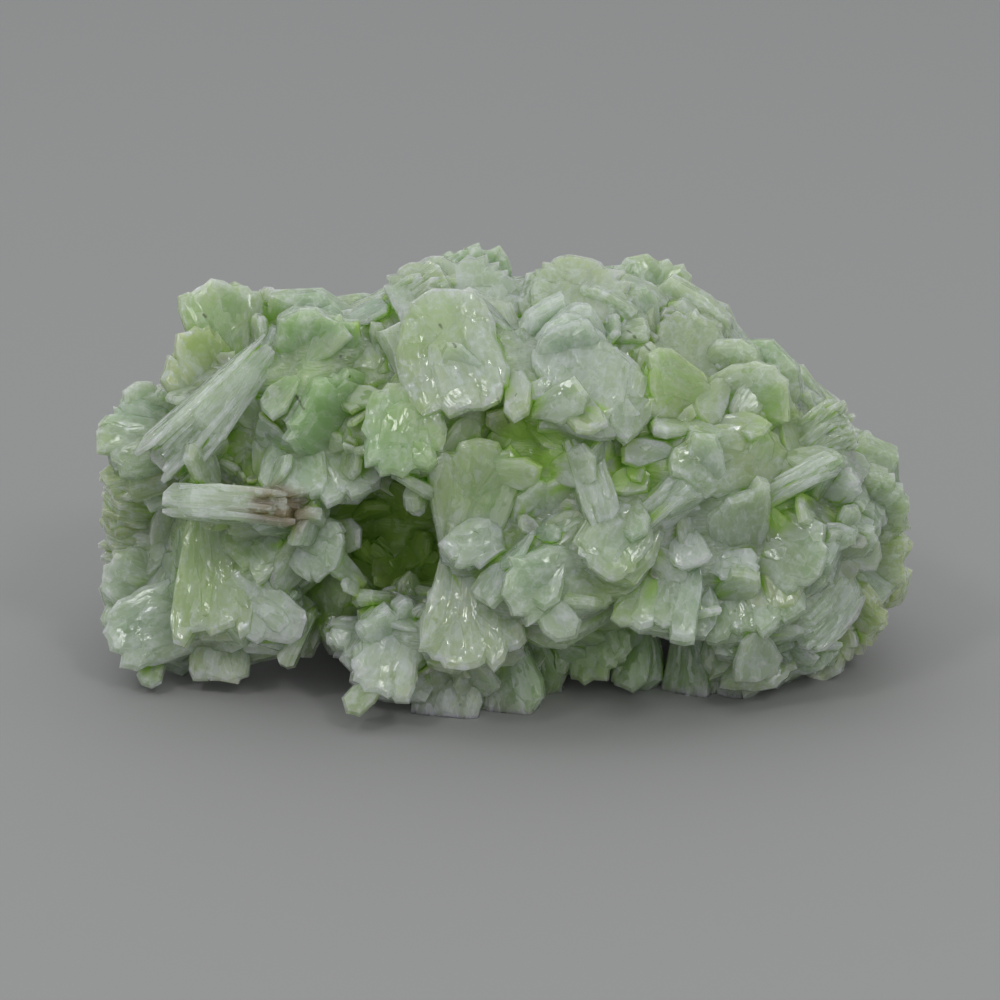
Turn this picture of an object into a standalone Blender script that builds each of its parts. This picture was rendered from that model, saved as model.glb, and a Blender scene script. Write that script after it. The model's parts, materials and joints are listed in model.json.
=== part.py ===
"""Prehnite cluster: fans, sheaves and tablets of pale green crystal, grown together into one lump.

The lump is one solid. Rounded masses make its heart, and every crystal is a few wedge-shaped plates that
overlap at their roots. A union joins all of them, and the lump is trimmed flat where its lowest crystals
touch the surface that it lies on. Blender units are metres, +Z is up, and the front faces -Y.
"""

import math
import random

import bmesh
import bpy
from mathutils import Matrix, Vector

MM = 0.001
NAME = "prehnite_cluster"

# The front is laid out as it is seen from a little above, in millimetres on a plane through AIM
VIEW_TILT = math.radians(20)
VIEW_DISTANCE = 300.0
AIM = Vector((-0.2, 0.0, 11.6))
AIM_UP = 16.4

RIGHT = Vector((1, 0, 0))
UPWARD = Vector((0, math.sin(VIEW_TILT), math.cos(VIEW_TILT)))
TOWARD = Vector((0, -math.cos(VIEW_TILT), math.sin(VIEW_TILT)))

# Each habit gives the narrowest part's share of the full width, and whether it sits at the root or the waist
FAN = {"narrow": 0.45, "waist": False}
SHEAF = {"narrow": 0.62, "waist": True}
TABLET = {"narrow": 0.86, "waist": False}

PLATE_SIDES = 7
PLATE_OVERLAP = 1.3
SQUARENESS = 2.4
RAGGED = 0.16
PLATE_SEED = 5000
THICK_ENOUGH_FOR_TWO = 4.3

# Rounded masses at the heart: centre and half lengths in millimetres
HEART = (
    ((1.5, 3.0, 14.0), (21.0, 10.5, 10.5)),
    ((-17.0, 0.5, 14.5), (9.5, 8.5, 9.0)),
    ((17.5, -1.0, 13.0), (10.0, 9.0, 9.5)),
    ((2.0, 2.0, 20.5), (14.0, 8.5, 8.0)),
    ((6.0, -7.0, 9.5), (9.5, 6.5, 6.0)),
    ((-19.5, -4.0, 9.5), (6.0, 5.5, 6.0)),
    ((-14.0, -4.5, 20.5), (7.0, 5.5, 5.0)),
    ((9.0, -6.5, 20.0), (9.5, 5.0, 5.5)),
    ((-3.0, -7.5, 23.5), (5.5, 4.5, 5.0)),
    ((-4.5, -9.0, 5.0), (6.5, 4.8, 3.8)),
    ((2.0, 7.0, 8.5), (15.0, 7.5, 6.0)),
)

# Crystals of the front. Place: across, up and depth. Growth: turn in the view, anticlockwise from the right,
# and rise towards the viewer. Roll turns the plates about the growth, from face-on at 0 to edge-on at 90.
# Size: length, width and thickness in millimetres.
FRONT = (
    # The left end, from the top down
    ("top_left_fan", (-20.6, 29.2, -2), (100, 0, 12), (7.8, 8.2, 3.0), FAN),
    ("top_left_edge", (-17.9, 29.2, -1), (85, 0, 60), (6.4, 3.0, 2.2), TABLET),
    ("yellow_fan", (-22.4, 25.6, -4), (125, 10, 20), (7.8, 6.6, 3.4), FAN),
    ("left_end_ridge", (-27.0, 23.2, -3), (110, 10, 30), (4.8, 3.8, 2.4), TABLET),
    ("left_end_fan", (-26.6, 20.7, -5), (185, 10, 25), (8.4, 8.0, 4.0), FAN),
    ("left_end_ledge", (-27.0, 18.2, -6), (195, 0, 50), (6.4, 4.0, 2.4), TABLET),
    ("long_blade", (-21.7, 23.2, -9), (228, 6, 76), (13.0, 5.2, 4.8), FAN),
    ("upper_left_slope", (-13.8, 27.0, -5), (70, 30, 5), (9.6, 9.4, 4.0), TABLET),
    ("blade_side", (-18.6, 21.2, -7), (20, 20, 10), (8.6, 6.6, 3.4), TABLET),
    ("mid_left_slope", (-13.0, 23.0, -8), (150, 40, 0), (9.0, 8.6, 4.0), TABLET),
    ("mid_left_drop", (-15.4, 18.8, -10.5), (270, 30, 5), (6.6, 5.8, 3.2), FAN),
    ("vug_roof", (-11.8, 18.4, -11), (305, 30, -10), (6.4, 6.4, 3.0), FAN),
    # The middle, from the summit down
    ("summit_left", (-9.4, 28.8, 0), (110, 10, 20), (7.4, 7.2, 3.8), TABLET),
    ("summit_shoulder", (-7.0, 30.2, -3), (35, 10, 55), (10.0, 7.0, 4.4), SHEAF),
    ("summit", (-2.6, 30.8, 2), (93, 0, 15), (9.4, 9.4, 5.0), FAN),
    ("broad_tablet", (-3.6, 26.8, -10), (285, 25, 0), (10.4, 9.6, 4.2), TABLET),
    ("round_tablet", (-7.3, 21.2, -13.5), (268, 15, 0), (7.4, 6.8, 3.4), TABLET),
    ("groove_wall", (1.4, 26.6, -9), (265, 20, 65), (7.0, 4.6, 3.0), TABLET),
    ("white_flake_top", (1.7, 31.4, -1.5), (60, 30, 10), (3.8, 3.2, 2.0), TABLET),
    ("top_middle", (3.6, 29.8, 1), (80, 10, 35), (8.8, 8.4, 4.2), FAN),
    ("top_middle_slope", (7.4, 29.2, -3), (60, 35, 0), (8.4, 7.8, 4.0), TABLET),
    ("top_right_peak", (10.4, 30.0, 4), (88, 0, 10), (9.6, 8.8, 4.4), FAN),
    ("top_right_slope", (13.6, 28.0, -1), (40, 30, 5), (9.2, 8.4, 4.0), TABLET),
    ("right_shoulder", (16.2, 25.4, 3), (45, 5, 25), (7.8, 7.2, 3.6), FAN),
    # The centre and its hollows
    ("centre_tablet", (5.6, 24.6, -11.2), (255, 28, 0), (9.8, 10.4, 4.4), TABLET),
    ("centre_small_tablet", (5.0, 28.0, -9.6), (120, 30, 5), (5.6, 5.4, 2.8), TABLET),
    ("pale_bar", (6.5, 17.9, -14.5), (289, 10, 78), (8.4, 3.6, 2.8), TABLET),
    ("behind_bar", (9.4, 20.6, -11), (262, 20, 10), (6.0, 5.4, 2.8), FAN),
    ("hourglass_top", (-2.5, 16.6, -13), (84, 8, 8), (9.4, 8.6, 4.6), FAN),
    ("hourglass_collar", (-2.4, 13.0, -15), (200, 20, 10), (5.6, 4.4, 2.6), TABLET),
    ("hourglass_foot", (-2.4, 8.2, -15), (271, 8, 6), (9.6, 9.2, 4.6), FAN),
    ("beside_bar", (3.0, 16.4, -12.5), (60, 25, 20), (7.4, 6.2, 4.0), TABLET),
    ("low_tablet", (4.8, 10.6, -16), (195, 22, 0), (11.4, 7.6, 4.0), TABLET),
    ("low_tablet_cap", (8.0, 13.0, -16.5), (240, 25, 0), (6.4, 6.2, 2.8), TABLET),
    ("glint_bar", (10.3, 17.4, -12.5), (36, 10, 80), (5.2, 2.6, 1.9), TABLET),
    ("pale_blade", (11.4, 15.4, -14.5), (40, 10, 65), (8.6, 4.2, 2.8), SHEAF),
    # The right end
    ("right_round_tablet", (15.8, 19.2, -12), (188, 28, 0), (10.6, 6.8, 3.6), TABLET),
    ("green_window_wall", (12.6, 24.6, -10), (165, 30, 15), (7.4, 6.2, 3.4), FAN),
    ("right_upper_tablet", (17.6, 23.8, -7), (10, 24, 5), (9.0, 6.2, 3.4), TABLET),
    ("right_corner_tablet", (20.9, 22.6, -3), (20, 20, 10), (7.6, 6.6, 3.4), FAN),
    ("striped_block", (23.2, 20.2, -8), (40, 12, 65), (8.0, 5.2, 4.8), SHEAF),
    ("right_top_fan", (24.6, 19.4, 0), (40, 0, 20), (7.6, 7.2, 3.8), FAN),
    ("right_end_fan", (26.4, 16.6, -5), (15, 12, 40), (8.4, 8.4, 5.0), FAN),
    ("right_end_tablet", (27.0, 12.6, -4), (352, 10, 25), (7.8, 7.4, 4.2), FAN),
    ("right_low_fan", (25.8, 8.8, -5), (325, 8, 45), (7.8, 7.2, 4.4), FAN),
    ("right_inner_tablet", (25.4, 13.8, -9), (60, 45, 10), (6.6, 5.6, 3.2), TABLET),
    ("white_flake_right", (25.2, 17.4, -10), (20, 25, 15), (4.8, 3.4, 1.6), TABLET),
    ("cross_bar", (21.4, 17.4, -11.5), (30, 10, 78), (9.0, 3.0, 2.0), TABLET),
    ("right_middle_fan", (17.6, 15.0, -12), (100, 35, 10), (8.2, 6.0, 4.0), FAN),
    ("right_front_tablet", (21.4, 12.4, -12), (330, 30, 5), (8.0, 7.0, 3.6), TABLET),
    ("white_tablet", (14.0, 12.6, -13.6), (262, 22, 5), (3.8, 3.8, 2.4), TABLET),
    ("white_tablet_low", (17.4, 11.4, -13.2), (275, 22, 5), (2.8, 4.8, 2.2), TABLET),
    ("low_right_tablet", (12.0, 9.6, -14.5), (250, 26, 5), (8.4, 7.6, 3.8), FAN),
    ("low_right_fan", (18.4, 9.0, -12.5), (285, 26, 5), (8.6, 9.0, 4.0), FAN),
    ("low_right_disc", (20.2, 9.8, -13), (290, 20, 5), (5.4, 5.4, 2.6), TABLET),
    ("clear_block", (24.2, 8.2, -11.5), (228, 28, 55), (7.2, 3.8, 3.8), TABLET),
    ("right_under_fan", (23.8, 6.8, -5), (305, 5, 30), (7.4, 7.2, 4.0), FAN),
    ("low_right_skirt", (18.6, 5.8, -9), (276, 10, 10), (7.6, 8.6, 4.2), FAN),
    ("low_right_corner", (21.8, 5.6, -8), (295, 8, 15), (6.6, 6.6, 4.0), FAN),
    # Below the left end and beside the vug
    ("brown_crust", (-26.8, 15.6, -2), (172, 5, 60), (7.2, 5.2, 4.4), FAN),
    ("brown_crust_low", (-27.0, 12.8, -2), (188, 5, 60), (6.6, 4.6, 4.2), FAN),
    ("left_low_chip", (-27.2, 10.2, -5), (165, 12, 15), (6.2, 5.4, 2.8), FAN),
    ("flat_bar", (-20.0, 16.0, -12.5), (356, 4, 82), (10.6, 4.4, 2.8), TABLET),
    ("great_fan", (-20.8, 10.6, -9), (276, 12, 8), (11.4, 9.4, 5.0), FAN),
    ("left_low_tablet", (-25.6, 7.0, -7.5), (205, 8, 0), (9.0, 6.8, 3.4), TABLET),
    ("left_foot_fan", (-20.7, 5.4, -8.5), (268, 0, 10), (6.0, 5.4, 3.4), FAN),
    ("serrated_tablet", (-18.2, 8.3, -11), (325, 10, 5), (8.2, 5.8, 3.0), TABLET),
    ("left_inner_tablet", (-17.8, 12.6, -9.5), (300, 30, 5), (6.4, 6.2, 3.4), TABLET),
    ("vug_left_lip", (-14.2, 13.2, -11), (330, 28, 10), (6.6, 5.6, 3.2), FAN),
    ("vug_left_wall", (-13.6, 9.2, -6), (285, 18, 15), (8.0, 6.6, 4.4), FAN),
    ("vug_chip", (-7.2, 9.2, -9.5), (120, 20, 20), (4.4, 2.8, 2.2), TABLET),
    ("frosted_lump", (-8.9, 6.9, -13.4), (110, 30, 15), (4.8, 4.8, 3.8), FAN),
    ("frosted_tablet", (-8.4, 4.8, -14.5), (255, 15, 5), (7.0, 6.6, 3.6), FAN),
    ("frosted_side", (-10.9, 6.0, -12), (195, 8, 20), (5.4, 4.6, 3.2), FAN),
    # Under the front
    ("front_foot", (-4.0, 2.8, -12), (272, -10, 10), (7.6, 6.6, 4.4), FAN),
    ("front_foot_right", (0.6, 3.0, -11.5), (282, -10, 15), (7.6, 6.4, 4.2), FAN),
    ("under_front", (6.6, 6.6, -8.5), (285, -5, 20), (7.6, 8.2, 4.6), FAN),
    ("under_nub_left", (10.0, 4.8, -8.5), (268, 5, 20), (6.0, 3.8, 3.0), FAN),
    ("under_nub_middle", (14.0, 3.0, -8.5), (272, 0, 20), (7.0, 4.6, 3.2), FAN),
    ("under_nub_right", (17.2, 3.8, -8.5), (278, 5, 20), (6.4, 4.8, 3.2), FAN),
)

# Crystals that the lump lies on, besides the front ones: foot place on the floor, lean outwards in degrees
FEET = (
    ((-15.0, 9.0), 20, (10.0, 7.0, 4.6)),
    ((13.0, 11.0), 25, (10.0, 7.4, 4.6)),
    ((15.5, -7.0), 15, (8.0, 6.4, 4.2)),
    ((-4.0, 13.0), 25, (9.0, 6.6, 4.0)),
)
FOOT_SINK = 0.5

# The rest of the heart is covered by crystals that lie on it like shingles, spread evenly round its centre
BACK_SEED = 11
SPREAD_COUNT = 130
SPREAD_CENTRE = Vector((0.5, 2.5, 14.3))
SPREAD_HALF = Vector((25.0, 13.0, 11.5))
SPREAD_FAR = 40.0
SPREAD_STEP = 0.2
SPREAD_PROUD = 0.4
FRONT_LIMIT = 0.3
NEAR_ENOUGH = 4.4
CLEARANCE = 0.7

# The highest that those crystals may show over the front ones: across and up, from the left end to the right
SKYLINE = (
    (-30, 19),
    (-27, 24),
    (-24, 27),
    (-20, 31),
    (-16, 30),
    (-11, 31),
    (-3, 35),
    (5, 33),
    (11, 34),
    (18, 29),
    (24, 23.5),
    (28, 19),
    (30, 13),
)
GOLDEN_ANGLE = math.pi * (3 - math.sqrt(5))


def seen(across, up, depth):
    """The point at this depth that is seen this far across and up on the plane through AIM."""
    eye = AIM + TOWARD * VIEW_DISTANCE
    target = AIM + RIGHT * (across - AIM.x) + UPWARD * (up - AIM_UP)
    ray = target - eye
    return eye + ray * ((depth - eye.y) / ray.y)


def skyline_excess(point):
    """How far this point is seen above the skyline, as a length up the view plane."""
    eye = AIM + TOWARD * VIEW_DISTANCE
    ray = point - eye
    hit = eye - ray * (VIEW_DISTANCE / ray.dot(TOWARD)) - AIM
    across, up = hit.dot(RIGHT) + AIM.x, hit.dot(UPWARD) + AIM_UP
    for (left, low), (right, high) in zip(SKYLINE, SKYLINE[1:]):
        if left <= across <= right:
            return up - low - (high - low) * (across - left) / (right - left)
    return 0


def turned(growth, facing, roll):
    """The rotation whose Y is the growth and whose Z is the plates' normal, rolled about the growth."""
    normal = (facing - growth * facing.dot(growth)).normalized()
    normal = Matrix.Rotation(math.radians(roll), 3, growth) @ normal
    width = growth.cross(normal)
    return Matrix((width, growth, normal)).transposed()


def front_crystals():
    """Place, rotation, size and habit of each crystal that is laid out by hand."""
    for _, place, (turn, rise, roll), size, habit in FRONT:
        turn, rise = math.radians(turn), math.radians(rise)
        in_view = RIGHT * math.cos(turn) + UPWARD * math.sin(turn)
        growth = in_view * math.cos(rise) + TOWARD * math.sin(rise)
        yield seen(*place), turned(growth, TOWARD, roll), size, habit


def foot_crystals():
    """Fans that grow down and outwards to the surface that the lump lies on."""
    for (x, y), lean, size in FEET:
        outward = Vector((x, y, 0)).normalized()
        lean = math.radians(lean)
        growth = outward * math.sin(lean) - Vector((0, 0, 1)) * math.cos(lean)
        tip = Vector((x, y, -FOOT_SINK))
        yield tip - growth * size[0] / 2, turned(growth, outward, 0), size, FAN


def heart_surface(outward):
    """The outermost point of the heart in this direction from its centre."""
    reach = SPREAD_FAR
    while reach > 0:
        point = SPREAD_CENTRE + outward * reach
        for centre, half in HEART:
            if Vector((p - c) / h for p, c, h in zip(point, centre, half)).length < 1:
                return point
        reach -= SPREAD_STEP
    return SPREAD_CENTRE


def spread_crystals(taken):
    """Crystals over the back, the top and the underside, where none is laid out by hand."""
    rng = random.Random(BACK_SEED)
    for index in range(SPREAD_COUNT):
        height = 1 - 2 * (index + 0.5) / SPREAD_COUNT
        around = index * GOLDEN_ANGLE
        flat = math.sqrt(1 - height * height)
        outward = Vector((math.cos(around) * flat, math.sin(around) * flat, height))
        outward = Vector(a * b for a, b in zip(outward, SPREAD_HALF)).normalized()
        sideways = outward.cross(Vector(rng.uniform(-1, 1) for _ in range(3))).normalized()
        growth = (sideways + outward * rng.uniform(0.1, 0.9)).normalized()
        roll = rng.uniform(-50, 50)
        length = rng.uniform(7.0, 9.5)
        place = heart_surface(outward) + outward * SPREAD_PROUD
        size = (length, length * rng.uniform(0.75, 0.98), rng.uniform(2.6, 3.8))
        habit = rng.choice((FAN, FAN, TABLET, SHEAF))
        crowded = any((place - other).length < NEAR_ENOUGH for other in taken)
        if outward.dot(TOWARD) < FRONT_LIMIT and not crowded:
            yield place, turned(growth, outward, roll), size, habit


def share_at(along, habit):
    """Share of the full width or thickness at this share of the length."""
    grown = abs(2 * along - 1) if habit["waist"] else along
    return habit["narrow"] + (1 - habit["narrow"]) * grown


def add_plate(bm, size, habit, place, rng):
    """One plate: a prism drawn out to the habit's ragged outline, thinner where it is narrow."""
    length, width, thickness = size
    made = bmesh.ops.create_cone(
        bm, cap_ends=True, segments=PLATE_SIDES, radius1=1, radius2=1, depth=2
    )
    notches = [1 + rng.uniform(-RAGGED, RAGGED) / 2 for _ in range(PLATE_SIDES)]
    start = rng.uniform(0, 1)
    for vert in made["verts"]:
        corner = round(math.atan2(vert.co.y, vert.co.x) / math.tau * PLATE_SIDES)
        angle = (corner + start) / PLATE_SIDES * math.tau
        reach = [
            notches[corner % PLATE_SIDES]
            * math.copysign(abs(c) ** (2 / SQUARENESS), c)
            for c in (math.cos(angle), math.sin(angle))
        ]
        share = share_at((reach[1] + 1) / 2, habit)
        vert.co = Vector(
            (
                reach[0] * share * width / 2,
                reach[1] * length / 2,
                vert.co.z * share * thickness / 2,
            )
        )
    bmesh.ops.transform(bm, matrix=place, verts=made["verts"])


def plates_of(crystal, rng):
    """Size and place of each plate of a crystal, fanned about its root or its waist."""
    centre, rotation, (length, width, thickness), habit = crystal
    count = 1 if thickness < THICK_ENOUGH_FOR_TWO else 2
    each = thickness / count * (PLATE_OVERLAP if count > 1 else 1)
    pivot = 0 if habit["waist"] else -length / 2
    lever = length / 2 if habit["waist"] else length
    fan = math.atan((thickness - each) / 2 / lever)
    frame = Matrix.Translation(centre) @ rotation.to_4x4()
    for index in range(count):
        side = 2 * index / (count - 1) - 1 if count > 1 else 0
        shorter = 1 - rng.uniform(0, 0.1) * (index % 2)
        narrower = 1 - rng.uniform(0, 0.12) * ((index + 1) % 2)
        tilt = Matrix.Translation((0, pivot, 0)) @ Matrix.Rotation(side * fan, 4, "X")
        slide = Matrix.Translation((0, -pivot - length * (1 - shorter) / 2, 0))
        size = (length * shorter, width * narrower, each)
        yield size, frame @ tilt @ slide


def mesh_object(name, bm, collection):
    """An object in metres from a mesh built in millimetres."""
    bmesh.ops.scale(bm, vec=(MM, MM, MM), verts=bm.verts)
    mesh = bpy.data.meshes.new(name)
    bm.to_mesh(mesh)
    bm.free()
    obj = bpy.data.objects.new(name, mesh)
    collection.objects.link(obj)
    return obj


def add_heart_mass(bm, centre, half):
    """One rounded mass of the heart."""
    made = bmesh.ops.create_icosphere(bm, subdivisions=2, radius=1)
    bmesh.ops.scale(bm, vec=half, verts=made["verts"])
    bmesh.ops.translate(bm, vec=centre, verts=made["verts"])


def keep_in_place(bm):
    """Lowers a crystal under the skyline, or raises it so that it ends above the floor."""
    excess = max(skyline_excess(vert.co) for vert in bm.verts)
    if excess > 0:
        bmesh.ops.translate(bm, vec=-UPWARD * excess, verts=bm.verts)
    lowest = min(vert.co.z for vert in bm.verts)
    if lowest < CLEARANCE:
        bmesh.ops.translate(bm, vec=(0, 0, CLEARANCE - lowest), verts=bm.verts)


def all_crystals():
    """Every crystal, and whether the lump may lie on it."""
    front = list(front_crystals())
    feet = list(foot_crystals())
    taken = [crystal[0] for crystal in front + feet]
    for crystal in front + feet:
        yield crystal, True
    for crystal in spread_crystals(taken):
        yield crystal, False


def add_pieces(collection):
    """Makes each mass and each plate a closed mesh of its own in this collection."""
    for index, (centre, half) in enumerate(HEART):
        bm = bmesh.new()
        add_heart_mass(bm, centre, half)
        mesh_object(f"heart_{index}", bm, collection)
    for index, (crystal, may_touch) in enumerate(all_crystals()):
        rng = random.Random(PLATE_SEED + index)
        bm = bmesh.new()
        for size, place in plates_of(crystal, rng):
            add_plate(bm, size, crystal[3], place, rng)
        if not may_touch:
            keep_in_place(bm)
        mesh_object(f"crystal_{index}", bm, collection)


def joined(collection):
    """The union of the collection's meshes, as a new mesh."""
    first, *others = list(collection.objects)
    rest = bpy.data.collections.new("others")
    for obj in others:
        rest.objects.link(obj)
    union = first.modifiers.new("union", "BOOLEAN")
    union.operation = "UNION"
    union.operand_type = "COLLECTION"
    union.collection = rest
    union.use_self = True
    bpy.context.view_layer.update()
    graph = bpy.context.evaluated_depsgraph_get()
    mesh = bpy.data.meshes.new_from_object(first.evaluated_get(graph))
    for obj in [first, *others]:
        bpy.data.objects.remove(obj)
    bpy.data.collections.remove(rest)
    return mesh


def islands(bm):
    """The connected groups of faces."""
    left = set(bm.faces)
    while left:
        group, edge_of_group = set(), [left.pop()]
        while edge_of_group:
            face = edge_of_group.pop()
            group.add(face)
            for edge in face.edges:
                for other in edge.link_faces:
                    if other in left:
                        left.remove(other)
                        edge_of_group.append(other)
        yield group


def fill_voids(bm):
    """Deletes the skins of small voids that are sealed inside, which makes the lump solid there."""
    groups = sorted(islands(bm), key=len)
    inner = [face for group in groups[:-1] for face in group]
    bmesh.ops.delete(bm, geom=inner, context="FACES")


def trim_at_floor(bm):
    """Cuts the feet flat where they touch the floor."""
    everything = bm.verts[:] + bm.edges[:] + bm.faces[:]
    cut = bmesh.ops.bisect_plane(
        bm,
        geom=everything,
        plane_co=(0, 0, 0),
        plane_no=(0, 0, -1),
        clear_outer=True,
    )
    rims = [e for e in cut["geom_cut"] if isinstance(e, bmesh.types.BMEdge)]
    bmesh.ops.holes_fill(bm, edges=rims, sides=0)


def centre_over_origin(bm):
    """Moves the lump so that the middle of its box stands over the origin."""
    middle = Vector((0, 0, 0))
    for axis in (0, 1):
        reach = [vert.co[axis] for vert in bm.verts]
        middle[axis] = (min(reach) + max(reach)) / 2
    bmesh.ops.translate(bm, vec=-middle, verts=bm.verts)


def prehnite_material():
    """Pale green, waxy and a little glossy."""
    material = bpy.data.materials.new("prehnite")
    material.use_nodes = True
    shader = material.node_tree.nodes["Principled BSDF"]
    shader.inputs["Base Color"].default_value = (0.42, 0.56, 0.33, 1)
    shader.inputs["Roughness"].default_value = 0.35
    shader.inputs["Metallic"].default_value = 0.0
    return material


def build():
    for obj in list(bpy.data.objects):
        bpy.data.objects.remove(obj)
    helpers = bpy.data.collections.new("pieces to join")
    bpy.context.scene.collection.children.link(helpers)
    add_pieces(helpers)
    mesh = joined(helpers)
    bpy.data.collections.remove(helpers)

    bm = bmesh.new()
    bm.from_mesh(mesh)
    trim_at_floor(bm)
    fill_voids(bm)
    centre_over_origin(bm)
    bmesh.ops.triangulate(bm, faces=bm.faces)
    bm.to_mesh(mesh)
    bm.free()
    mesh.name = NAME
    mesh.materials.clear()
    mesh.materials.append(prehnite_material())
    cluster = bpy.data.objects.new(NAME, mesh)
    model = bpy.data.collections.new("prehnite cluster")
    bpy.context.scene.collection.children.link(model)
    model.objects.link(cluster)


build()
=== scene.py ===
# %% [markdown]
# # Prehnite cluster
#
# A lump of pale green prehnite, about six centimetres wide. Dozens of fans, sheaves and tablets have
# grown into each other, so the whole lump is one solid. The lesson repeats the layout of the plain solid,
# gives every crystal its own stack of thin blades, joins them in one mesh and finishes it in waxy green.
#
# %% Load the plain solid as the fixed frame
import json
import math
import random

import bmesh
import bpy
from mathutils import Matrix, Vector
from mathutils.bvhtree import BVHTree

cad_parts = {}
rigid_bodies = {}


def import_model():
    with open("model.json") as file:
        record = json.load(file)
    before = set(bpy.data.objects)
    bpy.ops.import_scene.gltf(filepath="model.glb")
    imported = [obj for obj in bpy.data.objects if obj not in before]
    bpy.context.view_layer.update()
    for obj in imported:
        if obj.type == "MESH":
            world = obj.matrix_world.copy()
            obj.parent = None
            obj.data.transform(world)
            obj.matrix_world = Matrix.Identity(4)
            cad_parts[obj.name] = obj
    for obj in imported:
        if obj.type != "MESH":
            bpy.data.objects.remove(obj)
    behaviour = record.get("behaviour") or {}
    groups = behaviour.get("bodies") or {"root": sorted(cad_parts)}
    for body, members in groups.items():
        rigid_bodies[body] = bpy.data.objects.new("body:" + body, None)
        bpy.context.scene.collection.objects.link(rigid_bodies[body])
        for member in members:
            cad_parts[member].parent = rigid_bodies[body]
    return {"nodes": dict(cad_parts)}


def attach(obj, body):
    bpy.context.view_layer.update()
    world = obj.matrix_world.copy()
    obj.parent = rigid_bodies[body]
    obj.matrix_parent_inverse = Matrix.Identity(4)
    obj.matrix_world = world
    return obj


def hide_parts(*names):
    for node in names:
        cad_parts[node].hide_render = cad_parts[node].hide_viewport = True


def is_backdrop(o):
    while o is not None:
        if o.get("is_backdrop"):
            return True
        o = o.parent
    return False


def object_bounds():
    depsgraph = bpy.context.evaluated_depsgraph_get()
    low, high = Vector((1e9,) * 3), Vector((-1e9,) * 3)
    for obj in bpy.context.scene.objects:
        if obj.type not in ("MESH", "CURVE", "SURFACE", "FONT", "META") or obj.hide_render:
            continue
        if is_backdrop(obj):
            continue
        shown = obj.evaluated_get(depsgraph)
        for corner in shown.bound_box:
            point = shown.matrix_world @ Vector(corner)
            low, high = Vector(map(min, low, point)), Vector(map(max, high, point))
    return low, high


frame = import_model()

NODE = "prehnite_cluster"
MM = 0.001
cad_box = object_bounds()
print("plain solid, in metres:", [tuple(round(c, 4) for c in corner) for corner in cad_box])

# %% [markdown]
# ## The view that the layout is drawn in
#
# The lump was laid out as it is seen from the front and a little above, so each crystal's place is given
# across and up on a plane through the aim, and its depth is how far back it lies. The camera uses the
# same values, and so the picture and the layout agree. The finished lump stands centred over the origin,
# a small step away from the frame of the layout.
#
# %% The view and the way from a place in it to a point in space
VIEW_TILT = math.radians(20)
VIEW_DISTANCE = 300.0
AIM = Vector((-0.2, 0.0, 11.6))
AIM_UP = 16.4
CENTRING = Vector((-0.2462, 1.3241, 0.0))

RIGHT = Vector((1, 0, 0))
UPWARD = Vector((0, math.sin(VIEW_TILT), math.cos(VIEW_TILT)))
TOWARD = Vector((0, -math.cos(VIEW_TILT), math.sin(VIEW_TILT)))
EYE = AIM + TOWARD * VIEW_DISTANCE


def sight(across, up):
    """The way from the eye to this place across and up, on the plane through AIM."""
    return AIM + RIGHT * (across - AIM.x) + UPWARD * (up - AIM_UP) - EYE


def seen(across, up, depth):
    """The point at this depth that is seen this far across and up."""
    ray = sight(across, up)
    return EYE + ray * ((depth - EYE.y) / ray.y)


def in_view(point):
    """How far across and up a point is seen."""
    ray = point - EYE
    hit = EYE - ray * (VIEW_DISTANCE / ray.dot(TOWARD)) - AIM
    return hit.dot(RIGHT) + AIM.x, hit.dot(UPWARD) + AIM_UP


# %% The camera
FIELD_WIDTH = 75.0
SENSOR_WIDTH = 36.0

camera_data = bpy.data.cameras.new("camera")
camera_data.sensor_width = SENSOR_WIDTH
camera_data.lens = SENSOR_WIDTH * VIEW_DISTANCE / FIELD_WIDTH
camera_data.clip_start = 0.01
camera = bpy.data.objects.new("camera", camera_data)
bpy.context.scene.collection.objects.link(camera)
camera.location = (EYE + CENTRING) * MM
camera.rotation_euler = (math.pi / 2 - VIEW_TILT, 0, 0)
bpy.context.scene.camera = camera
print("camera lens", round(camera_data.lens, 1), "mm at", [round(c, 3) for c in camera.location])

# %% [markdown]
# ## Where every crystal grows
#
# Prehnite grows in three habits. A fan is narrow at its root and wide at its tip, a sheaf is pinched at
# its waist like a bow tie, and a tablet is nearly as wide all along. Each row below is one crystal of the
# lump: its place, the way it grows, its size and its habit. A list is the honest
# way here, because no rule gives this one lump its shape.
#
# %% The three habits and the heart of the lump
FAN = {"narrow": 0.45, "waist": False}
SHEAF = {"narrow": 0.62, "waist": True}
TABLET = {"narrow": 0.86, "waist": False}

# Rounded masses at the heart: centre and half lengths in millimetres
HEART = (
    ((1.5, 3.0, 14.0), (21.0, 10.5, 10.5)),
    ((-17.0, 0.5, 14.5), (9.5, 8.5, 9.0)),
    ((17.5, -1.0, 13.0), (10.0, 9.0, 9.5)),
    ((2.0, 2.0, 20.5), (14.0, 8.5, 8.0)),
    ((6.0, -7.0, 9.5), (9.5, 6.5, 6.0)),
    ((-19.5, -4.0, 9.5), (6.0, 5.5, 6.0)),
    ((-14.0, -4.5, 20.5), (7.0, 5.5, 5.0)),
    ((9.0, -6.5, 20.0), (9.5, 5.0, 5.5)),
    ((-3.0, -7.5, 23.5), (5.5, 4.5, 5.0)),
    ((-4.5, -9.0, 5.0), (6.5, 4.8, 3.8)),
    ((2.0, 7.0, 8.5), (15.0, 7.5, 6.0)),
)

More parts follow.
